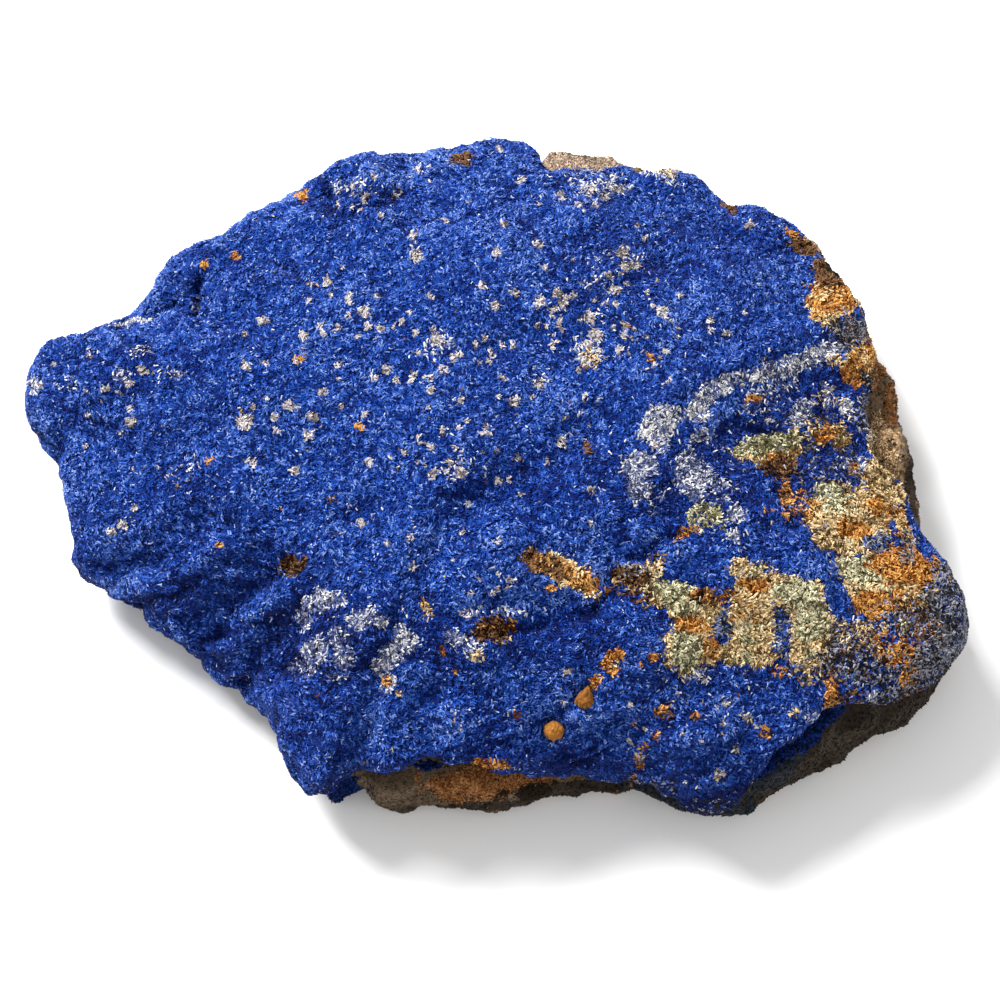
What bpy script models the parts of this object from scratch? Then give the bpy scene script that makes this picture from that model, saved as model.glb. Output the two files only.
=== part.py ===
"""Azurite specimen: a loose hand piece, lying crust side up.

A flat slab of brown sandstone carries a lumpy crust of very fine azurite crystals over its upper face. The crust
laps down over the far, left and near-left edges, and stops short along the right and near edges, where the broken
rock shows. Two small limonite nodules sit in the crust near the front.

Lengths are in millimetres and become metres as the meshes are made. +X is the long way of the piece, +Z is up.
Bearings are degrees, counter-clockwise from +X.
"""

import math

import bmesh
import bpy
from mathutils import Vector, noise
from mathutils.bvhtree import BVHTree
import numpy as np

NAME = "azurite_specimen"
MM = 0.001

# Driving dimensions
CROWN = 18.6              # highest level of the upper face
MEAN_EDGE = 10.5          # level of its edge, about which EDGE_HEIGHT varies
CROWN_FLATNESS = 2.5      # how long the upper face stays level before it falls to the edge
CRUST_THICKNESS = 2.6
CRUST_LIP = 2.4           # width over which the crust's broken edge falls away
CRUST_SINK = 0.6          # how deep the crust's blank runs under bare rock, where it is cut away
RAGGED = ((4.5, 1.5), (1.9, 0.5))   # spacing and reach of the tongues of the crust's edge, coarse and fine
CRUST_LOWEST = 1.4        # the crust stays clear of the ground
ROCK_RISE = 2.2           # how far beyond the crust's edge the rock comes out to the full form
FACET, FACET_DEPTH = 6.5, 1.3   # size and depth of the flat faces that bare rock breaks into
BED_DEPTH = 0.35          # half the depth of its thin beds
SWELL = ((9.0, 0.9), (3.8, 0.65))   # spacing and height of the whole form's unevenness, coarse and fine
SIDE_UNEVENNESS = 0.5
GAP = 0.3                 # between touching pieces
BALL_RADIUS = 0.92
LUMP_RADIUS = 0.9

# Fineness of the meshes
ROCK_CELLS, ROCK_ROWS = 24, 6
CRUST_CELLS, CRUST_ROWS = 38, 6

# The outline seen from above, counter-clockwise
FAR_EDGE = ((30.2, 23.3), (23.0, 25.8), (20.9, 27.9), (14.8, 30.9), (9.6, 31.2), (5.2, 31.7), (2.8, 32.8),
            (0.0, 33.1), (-3.5, 31.8), (-5.5, 31.5), (-8.0, 30.7), (-11.5, 31.1), (-14.2, 29.9), (-18.7, 26.7),
            (-22.8, 24.6), (-25.8, 22.0), (-29.0, 20.8), (-30.4, 19.0), (-30.9, 17.2))
LEFT_EDGE = ((-35.5, 13.3), (-38.5, 12.4), (-41.2, 11.2), (-42.7, 8.0), (-42.2, 4.4), (-39.6, 1.0), (-39.1, -1.0),
             (-37.8, -4.5), (-37.6, -7.2), (-36.9, -9.2), (-32.2, -12.5), (-27.5, -16.6), (-22.5, -20.1))
NEAR_EDGE = ((-19.6, -22.9), (-17.1, -28.4), (-14.5, -31.6), (-11.7, -29.2), (-8.8, -31.7), (-5.2, -30.1),
             (-1.8, -31.2), (5.0, -30.0), (12.5, -29.4), (15.8, -30.3), (17.9, -32.1), (21.2, -32.8))
RIGHT_EDGE = ((26.0, -29.6), (32.2, -25.6), (36.2, -23.7), (39.6, -21.0), (42.1, -17.8), (43.3, -14.2),
              (40.9, -9.1), (39.4, -3.6), (38.0, 3.0), (37.1, 9.8), (35.3, 16.0), (32.5, 20.0))

# Values that change round the piece: (bearing, value) stops
EDGE_HEIGHT = ((0, 10.6), (25, 11.4), (60, 11.2), (90, 11.0), (115, 11.6), (145, 10.8), (168, 10.0), (190, 9.6),
               (212, 9.0), (230, 9.6), (244, 9.4), (258, 11.2), (275, 10.8), (292, 9.8), (302, 8.8), (318, 10.4),
               (335, 11.4), (345, 10.2))
EDGE_INSET = ((0, 2.6), (30, 2.2), (45, 1.8), (100, 1.7), (150, 1.8), (185, 2.0), (215, 2.6), (245, 1.9),
              (256, 1.1), (290, 1.2), (303, 2.2), (320, 1.6), (335, 1.9), (348, 2.4))
BELLY_HEIGHT = ((0, 4.5), (30, 5.5), (60, 6.0), (120, 6.0), (180, 5.0), (215, 4.0), (245, 3.8), (255, 2.2),
                (290, 2.2), (302, 3.2), (318, 2.4), (345, 3.4))
UNDERCUT = ((0, 2.2), (45, 3.0), (90, 3.6), (140, 4.0), (180, 3.6), (215, 3.2), (245, 2.6), (256, 1.0), (290, 1.0),
            (302, 2.0), (318, 1.0), (345, 1.8))
# How far the crust reaches beyond the upper edge; less than nothing where it stops short of it
CRUST_REACH = ((0, 0.2), (10, 0.8), (18, 2.2), (22, 2.4), (25, 1.8), (30, 1.4), (33, 1.4), (38, 1.2),
               (44, 3.4), (58, 2.6), (63, -0.2), (67, 1.6), (71, -0.9), (79, -0.9), (83, 4.6), (100, 6.8),
               (125, 7.6), (150, 6.6), (170, 7.0), (200, 6.8), (225, 7.4), (242, 7.2), (248, 4.0), (254, 1.2),
               (262, 0.9), (267, -0.7), (272, 3.0), (280, 4.6), (290, 5.0), (295, 6.4), (301, 5.6), (307, 2.6),
               (312, 1.4), (319, -0.4), (324, 1.2), (329, 4.0), (335, 5.0), (341, 4.6), (346, 2.6), (353, 0.6))

# Swellings of the upper face: x, y, half length, half width, bearing of the length, height
SWELLINGS = ((3.4, -11.8, 9.5, 3.0, 33, 1.3), (-35.0, 6.5, 5.0, 5.0, 0, 0.9), (-29.0, 17.0, 2.6, 2.6, 0, 1.3),
             (-24.0, 21.0, 3.6, 2.4, 40, 1.1), (-12.0, 27.5, 3.8, 2.8, 10, 1.2), (-2.5, 29.0, 4.2, 2.4, 0, 1.0),
             (-15.5, -27.0, 3.4, 3.4, 60, 1.1), (18.5, -28.0, 4.2, 3.0, 10, 1.2), (-9.0, -22.0, 8.0, 3.2, 18, 0.9),
             (24.5, 13.5, 6.0, 4.0, 70, 0.7), (-20.0, 4.0, 8.0, 4.0, 25, 0.6), (2.0, 16.0, 9.0, 5.0, 150, 0.7),
             (21.5, -14.0, 7.0, 3.6, 15, 0.7), (-4.0, 3.0, 6.0, 3.0, 60, 0.5), (37.0, -11.0, 4.0, 2.4, 115, 0.9),
             (13.0, -22.0, 6.0, 2.4, 20, 0.6))
# Hollows and pits, in the same form
HOLLOWS = ((-19.0, -11.2, 1.5, 1.3, 0, 1.3), (-19.0, 17.3, 1.9, 1.4, 20, 1.0), (-14.5, 24.5, 2.4, 1.6, 0, 1.0),
           (25.2, -2.0, 3.4, 2.2, 150, 1.4), (-29.0, 0.0, 6.0, 4.0, 30, 0.8), (9.0, 7.0, 7.0, 3.4, 30, 0.6),
           (-9.0, 13.0, 5.0, 3.0, 120, 0.6), (15.0, 24.0, 5.0, 2.4, 160, 0.6), (31.0, 4.5, 3.0, 2.0, 70, 0.7))
# Creases run along a few points: half width, depth, points
CREASES = ((1.7, 1.5, ((9.5, -1.5), (4.0, -5.0), (-0.5, -8.3), (-3.6, -11.0), (-5.0, -15.0), (-6.0, -18.5))),
           (1.7, 1.0, ((-3.5, -18.2), (5.5, -17.4), (10.5, -15.5), (14.0, -13.0))),
           (1.3, 1.3, ((-33.0, -12.0), (-29.0, -9.4), (-24.5, -8.0))),
           (1.2, 1.5, ((-27.0, -17.6), (-22.5, -14.8), (-18.5, -13.4))),
           (1.3, 1.2, ((-24.5, -20.5), (-20.0, -18.4), (-16.0, -17.2))),
           (1.1, 0.8, ((-15.0, 6.6), (-10.0, 9.2))),
           (1.2, 1.6, ((-31.0, 13.6), (-27.5, 14.6), (-24.8, 16.4))),
           (1.2, 1.1, ((7.5, -28.8), (12.8, -26.6), (16.0, -25.6))),
           (1.3, 0.8, ((-36.0, 1.0), (-30.0, 4.0), (-25.0, 5.0))),
           (1.5, 0.9, ((17.0, 18.0), (23.0, 19.5), (28.0, 18.5))))
# Ridges, in the same form
RIDGES = ((1.5, 0.8, ((-30.5, -14.8), (-25.5, -12.0), (-20.0, -10.0))),
          (1.4, 0.7, ((-25.5, -18.8), (-21.0, -16.8), (-17.0, -15.6))),
          (1.3, 0.9, ((31.0, 11.0), (26.0, 8.0), (18.5, 3.6), (12.5, -0.8))),
          (1.6, 0.8, ((-19.0, -25.0), (-12.0, -20.5), (-7.0, -17.0))))


# ---------------------------------------------------------------- form


def around(bearing, stops):
    """The value at a bearing, in degrees, between stops that run once round the piece."""
    places = [stop[0] for stop in stops]
    values = [stop[1] for stop in stops]
    return float(np.interp(bearing, places, values, period=360.0))


def smooth_loop(points, steps=8):
    """A smooth closed curve through the points."""
    count = len(points)
    curve = []
    for index in range(count):
        before, start, end, after = (Vector(points[(index + shift) % count]) for shift in (-1, 0, 1, 2))
        for step in range(steps):
            t = step / steps
            curve.append(0.5 * (2 * start + (end - before) * t
                                + (2 * before - 5 * start + 4 * end - after) * t ** 2
                                + (3 * start - before - 3 * end + after) * t ** 3))
    return curve


OUTLINE = smooth_loop(FAR_EDGE + LEFT_EDGE + NEAR_EDGE + RIGHT_EDGE)
OUTLINE_STOPS = sorted((math.degrees(math.atan2(p.y, p.x)) % 360.0, p.length) for p in OUTLINE)


def mound(x, y, shape):
    """Height of a rounded swelling at a place."""
    cx, cy, length, width, bearing, height = shape
    turn = math.radians(bearing)
    along = (x - cx) * math.cos(turn) + (y - cy) * math.sin(turn)
    across = (y - cy) * math.cos(turn) - (x - cx) * math.sin(turn)
    return height * math.exp(-(along / length) ** 2 - (across / width) ** 2)


def fold(x, y, shape):
    """Height of a fold that runs along a chain of points and fades beyond its ends."""
    width, height, chain = shape
    place = Vector((x, y))
    nearest = 1e9
    for start, end in zip(chain[:-1], chain[1:]):
        start, run = Vector(start), Vector(end) - Vector(start)
        share = min(1.0, max(0.0, (place - start).dot(run) / run.length_squared))
        nearest = min(nearest, (place - start - run * share).length)
    return height * math.exp(-(nearest / width) ** 2)


def relief(x, y):
    """What the upper face stands above or below its plain domed form."""
    height = sum(mound(x, y, shape) for shape in SWELLINGS) - sum(mound(x, y, shape) for shape in HOLLOWS)
    height += sum(fold(x, y, shape) for shape in RIDGES) - sum(fold(x, y, shape) for shape in CREASES)
    return height + sum(rise * noise.noise(Vector((x / size, y / size, size))) for size, rise in SWELL)


def upper_face(share, bearing):
    """A point of the upper face, a share of the way out from the middle."""
    reach = share * (around(bearing, OUTLINE_STOPS) - around(bearing, EDGE_INSET))
    x, y = reach * math.cos(math.radians(bearing)), reach * math.sin(math.radians(bearing))
    dome = MEAN_EDGE + (CROWN - MEAN_EDGE) * (1.0 - share ** CROWN_FLATNESS)
    z = dome + (around(bearing, EDGE_HEIGHT) - MEAN_EDGE) * share ** 6 + relief(x, y)
    return Vector((x, y, z))


def side(drop, bearing, lowest):
    """A point of the side: drop runs from 0 at the upper edge to 1 at the lowest level."""
    top = upper_face(1.0, bearing).z
    belly = around(bearing, BELLY_HEIGHT)
    inset, undercut = around(bearing, EDGE_INSET), around(bearing, UNDERCUT)
    z = top + (lowest - top) * drop
    if z > belly:
        rise = (z - belly) / (top - belly)
        pull = inset * (1.0 - math.sqrt(1.0 - rise ** 2))
    else:
        pull = undercut * (1.0 - z / belly) ** 1.4
    turn = math.radians(bearing)
    wobble = SIDE_UNEVENNESS * noise.noise(Vector((9.0 * math.cos(turn), 9.0 * math.sin(turn), z / 3.5)))
    reach = around(bearing, OUTLINE_STOPS) - pull + wobble * min(1.0, 4.0 * drop)
    return Vector((reach * math.cos(turn), reach * math.sin(turn), z))


def grid_cube(cells, rows):
    """A cube two units across, in cells by cells squares on top and beneath and rows bands down its sides."""
    cube = bmesh.new()
    bmesh.ops.create_cube(cube, size=2.0)
    for axis, cuts in ((0, cells - 1), (1, cells - 1), (2, rows - 1)):
        long_edges = [e for e in cube.edges if abs(e.verts[0].co[axis] - e.verts[1].co[axis]) > 1.5]
        bmesh.ops.subdivide_edges(cube, edges=long_edges, cuts=cuts)
    return cube


def inward(share, drop, bearing):
    """The way into the body from a place on its form: straight down on top, level on the side."""
    turn = math.radians(bearing)
    level = share ** 10
    return Vector((-math.cos(turn) * level, -math.sin(turn) * level, -(1.0 - drop) ** 3))


def ease(value):
    """A smooth step from 0 to 1 as the value goes from 0 to 1."""
    value = min(1.0, max(0.0, value))
    return value * value * (3.0 - 2.0 * value)


def past_crust(place, bearing, beyond):
    """How far a place lies past the crust's ragged edge; less than nothing under the crust."""
    ragged = sum(reach * noise.noise(place / size) for size, reach in RAGGED)
    return beyond - around(bearing, CRUST_REACH) + ragged


def specimen_form(cells, rows, lowest, depth):
    """A closed body that lies inside the specimen's full form by a depth that changes over it."""
    form = grid_cube(cells, rows)
    for vertex in form.verts:
        a, b, c = vertex.co
        p, q = a * math.sqrt(1.0 - b * b / 2.0), b * math.sqrt(1.0 - a * a / 2.0)
        bearing = math.degrees(math.atan2(q, p)) % 360.0
        share = min(1.0, math.hypot(p, q))
        if c > 0.999:
            place = upper_face(share, bearing)
            beyond = (share - 1.0) * around(bearing, OUTLINE_STOPS)
            way = inward(share, 0.0, bearing)
        else:
            drop = (1.0 - c) / 2.0
            place = side(drop, bearing, lowest)
            beyond = upper_face(1.0, bearing).z - place.z
            way = inward(1.0, drop, bearing)
        place += way * depth(place, past_crust(place, bearing, beyond))
        if c < -0.999:
            place = Vector((place.x * share, place.y * share, lowest))
        vertex.co = place
    form.normal_update()
    return form


def grown(form, amount):
    """A copy of the form, larger all round by the amount."""
    copy = form.copy()
    copy.normal_update()
    moves = [vertex.normal * amount for vertex in copy.verts]
    for vertex, move in zip(copy.verts, moves):
        vertex.co += move
    return copy


def flatten_base(form):
    """Makes the level underside one face."""
    bmesh.ops.dissolve_faces(form, faces=[face for face in form.faces if face.normal.z < -0.9999])


def finish_mesh(form, name):
    """The form as a mesh of triangles, in metres."""
    bmesh.ops.triangulate(form, faces=form.faces)
    bmesh.ops.scale(form, vec=(MM, MM, MM), verts=form.verts)
    mesh = bpy.data.meshes.new(name)
    form.to_mesh(mesh)
    form.free()
    return mesh


# ---------------------------------------------------------------- pieces


def rock_depth(place, past):
    """How far the rock lies inside the full form: by the crust, or where bare by its facets and thin beds."""
    distances, _ = noise.voronoi(Vector((place.x / FACET, place.y / FACET, 1.5 * place.z / FACET)))
    facet = FACET_DEPTH * (min(0.75, distances[0]) - 0.5)
    bed = BED_DEPTH * math.sin(place.z * 2.4 + 3.0 * noise.noise(place / 9.0))
    bareness = ease((past - 0.4) / ROCK_RISE)
    return CRUST_THICKNESS * (1.0 - bareness) + (facet + bed) * bareness


def blank_depth(_place, past):
    """How far the crust's blank lies inside the full form: not at all, until it dives where the crust ends."""
    return (CRUST_THICKNESS + CRUST_SINK) * ease(0.5 + past / CRUST_LIP)


def make_nodule(radius, squash, roughness, seed):
    """A rounded nodule about its own centre."""
    form = bmesh.new()
    bmesh.ops.create_icosphere(form, subdivisions=2, radius=radius)
    for vertex in form.verts:
        direction = vertex.co.normalized()
        vertex.co *= 1.0 + roughness * noise.noise(direction * 1.7 + Vector((seed, 0.0, 0.0)))
        vertex.co = Vector((vertex.co.x * squash[0], vertex.co.y * squash[1], vertex.co.z * squash[2]))
    form.normal_update()
    return form


def paint(name, colour, roughness):
    """A plain material."""
    material = bpy.data.materials.new(name)
    material.use_nodes = True
    shader = material.node_tree.nodes["Principled BSDF"]
    shader.inputs["Base Color"].default_value = (*colour, 1.0)
    shader.inputs["Roughness"].default_value = roughness
    shader.inputs["Metallic"].default_value = 0.0
    material.diffuse_color = (*colour, 1.0)
    return material


def add_part(name, mesh, material, collection):
    """An object for one piece."""
    part = bpy.data.objects.new(name, mesh)
    collection.objects.link(part)
    mesh.materials.append(material)
    return part


def add_cutter(name, mesh, collection):
    """A hidden object that another is cut by."""
    cutter = bpy.data.objects.new(name, mesh)
    collection.objects.link(cutter)
    cutter.hide_render = True
    cutter.display_type = "WIRE"
    return cutter


def cut(part, cutter):
    """Takes the cutter's space out of the part."""
    boolean = part.modifiers.new(cutter.name, "BOOLEAN")
    boolean.operation = "DIFFERENCE"
    boolean.solver = "EXACT"
    boolean.object = cutter


def crust_level(crust, x, y):
    """Height of the crust's upper face at a place, in metres."""
    bpy.context.view_layer.update()
    tree = BVHTree.FromObject(crust, bpy.context.evaluated_depsgraph_get())
    hit = tree.ray_cast(Vector((x * MM, y * MM, 1.0)), Vector((0.0, 0.0, -1.0)))[0]
    return hit.z


def seat_nodule(name, form, place, sink, crust, material, parts, cutters):
    """Sets a nodule into the crust, in a pocket that clears it all round."""
    level = crust_level(crust, *place)
    seat = (place[0] * MM, place[1] * MM, level + sink * MM)
    pocket = add_cutter(name + "_pocket", finish_mesh(grown(form, GAP), name + "_pocket"), cutters)
    nodule = add_part(name, finish_mesh(form, name), material, parts)
    nodule.location = seat
    pocket.location = seat
    return nodule, pocket


def stand_at_origin(parts, everything):
    """Moves all objects so that the middle of the specimen's footprint box is the origin."""
    bpy.context.view_layer.update()
    graph = bpy.context.evaluated_depsgraph_get()
    corners = [part.matrix_world @ Vector(corner)
               for part in parts for corner in part.evaluated_get(graph).bound_box]
    lowest = Vector([min(corner[axis] for corner in corners) for axis in range(3)])
    highest = Vector([max(corner[axis] for corner in corners) for axis in range(3)])
    middle = (lowest + highest) / 2.0
    for thing in everything:
        thing.location -= Vector((middle.x, middle.y, lowest.z))


def new_collection(name):
    collection = bpy.data.collections.new(name)
    bpy.context.scene.collection.children.link(collection)
    return collection


def main():
    for thing in list(bpy.data.objects):
        bpy.data.objects.remove(thing, do_unlink=True)
    parts = new_collection(NAME)
    cutters = new_collection("cutters")

    sandstone = paint("sandstone", (0.16, 0.10, 0.055), 0.92)
    azurite = paint("azurite", (0.022, 0.075, 0.36), 0.78)
    limonite = paint("limonite", (0.48, 0.20, 0.045), 0.72)

    rock_form = specimen_form(ROCK_CELLS, ROCK_ROWS, 0.0, rock_depth)
    crust_form = specimen_form(CRUST_CELLS, CRUST_ROWS, CRUST_LOWEST, blank_depth)
    bed = add_cutter("crust_bed", finish_mesh(grown(rock_form, GAP), "crust_bed"), cutters)
    flatten_base(rock_form)
    rock = add_part("sandstone_matrix", finish_mesh(rock_form, "sandstone_matrix"), sandstone, parts)
    crust = add_part("azurite_crust", finish_mesh(crust_form, "azurite_crust"), azurite, parts)
    cut(crust, bed)

    ball = make_nodule(BALL_RADIUS, (1.0, 1.0, 0.95), 0.10, 2.0)
    lump = make_nodule(LUMP_RADIUS, (0.95, 1.15, 0.95), 0.45, 9.0)
    ball_set = seat_nodule("limonite_nodule_round", ball, (5.75, -26.85), 0.28, crust, limonite, parts, cutters)
    lump_set = seat_nodule("limonite_nodule_lump", lump, (8.4, -24.55), 0.2, crust, limonite, parts, cutters)
    for nodule, pocket in (ball_set, lump_set):
        cut(crust, pocket)
    crust.modifiers.new("triangles", "TRIANGULATE")

    stand_at_origin(list(parts.objects), list(parts.objects) + list(cutters.objects))


main()
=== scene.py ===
"""Azurite specimen, dressed: a velvety crust of very fine azurite crystals on a slab of sandstone.

The crust and the rock are made from the frame's own solids, remeshed finely and roughened. Single crystals
and stain grains are then strewn over the crust as joined meshes, sand grains over the bare rock, and two
limonite nodules sit in the crust near the front. Lengths inside the functions are millimetres, and become
metres as the meshes are made. Stains and specks are placed where the camera sees them, in thousandths of its
picture, and lie on the surface there.
"""

import math

import bmesh
import bpy
from bpy.props import FloatProperty, FloatVectorProperty, IntProperty, PointerProperty
from bpy.types import Operator, Panel, PropertyGroup
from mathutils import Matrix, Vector
from mathutils.bvhtree import BVHTree
import numpy as np


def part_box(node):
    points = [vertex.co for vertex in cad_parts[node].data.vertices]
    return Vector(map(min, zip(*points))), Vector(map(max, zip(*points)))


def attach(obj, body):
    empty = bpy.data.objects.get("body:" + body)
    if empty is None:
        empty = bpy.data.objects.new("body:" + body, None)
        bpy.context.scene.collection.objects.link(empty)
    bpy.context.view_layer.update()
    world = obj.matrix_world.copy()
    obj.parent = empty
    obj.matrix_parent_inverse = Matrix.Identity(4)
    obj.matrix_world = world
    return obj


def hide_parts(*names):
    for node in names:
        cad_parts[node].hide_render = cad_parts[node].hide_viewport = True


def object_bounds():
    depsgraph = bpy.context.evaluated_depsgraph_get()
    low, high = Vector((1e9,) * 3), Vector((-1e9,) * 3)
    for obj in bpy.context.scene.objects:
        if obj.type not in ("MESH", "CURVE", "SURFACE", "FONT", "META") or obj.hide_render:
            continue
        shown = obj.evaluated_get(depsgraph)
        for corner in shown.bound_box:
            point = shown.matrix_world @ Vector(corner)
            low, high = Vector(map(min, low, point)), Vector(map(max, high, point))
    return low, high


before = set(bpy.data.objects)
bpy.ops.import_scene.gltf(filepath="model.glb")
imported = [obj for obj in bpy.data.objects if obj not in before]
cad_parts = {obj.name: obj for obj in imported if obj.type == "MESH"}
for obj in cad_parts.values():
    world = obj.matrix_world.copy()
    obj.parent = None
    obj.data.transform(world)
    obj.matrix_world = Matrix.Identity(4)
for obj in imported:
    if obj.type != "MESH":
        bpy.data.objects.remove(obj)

bl_info = {
    "name": "Azurite Specimen",
    "version": (1, 0, 0),
    "blender": (4, 5, 0),
    "location": "3D View > Sidebar > Azurite",
    "description": "Dresses a crusted azurite hand piece: crust, crystals, stains, sandstone and nodules",
    "category": "Add Mesh",
}

CAD_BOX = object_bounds()
BODY = "root"
MM = 0.001

# The frame's box, in millimetres
LOWEST, HIGHEST = (np.array(corner) / MM for corner in CAD_BOX)

# How far every piece stays within that box, and how close corners have to be to be welded, in millimetres
CLEARANCE, WELD = 0.005, 0.0005

# The blue crystals are dealt out to this many pieces, so that none grows too large
CRYSTAL_PIECES = 3

# The camera, in degrees and millimetres: its direction, its lens, the point it looks at, how far it is moved
# aside and up from there, and its distance
AZIMUTH, ELEVATION = 0.0, 67.0
LENS, SENSOR = 100.0, 36.0
AIM = (0.0, 0.0, 8.0)
AIM_RIGHT, AIM_UP = 1.14, -3.64
DISTANCE = 252.0

# Width and height of the camera's picture, in the units that stains are placed by
PICTURE = 1000.0

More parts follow.
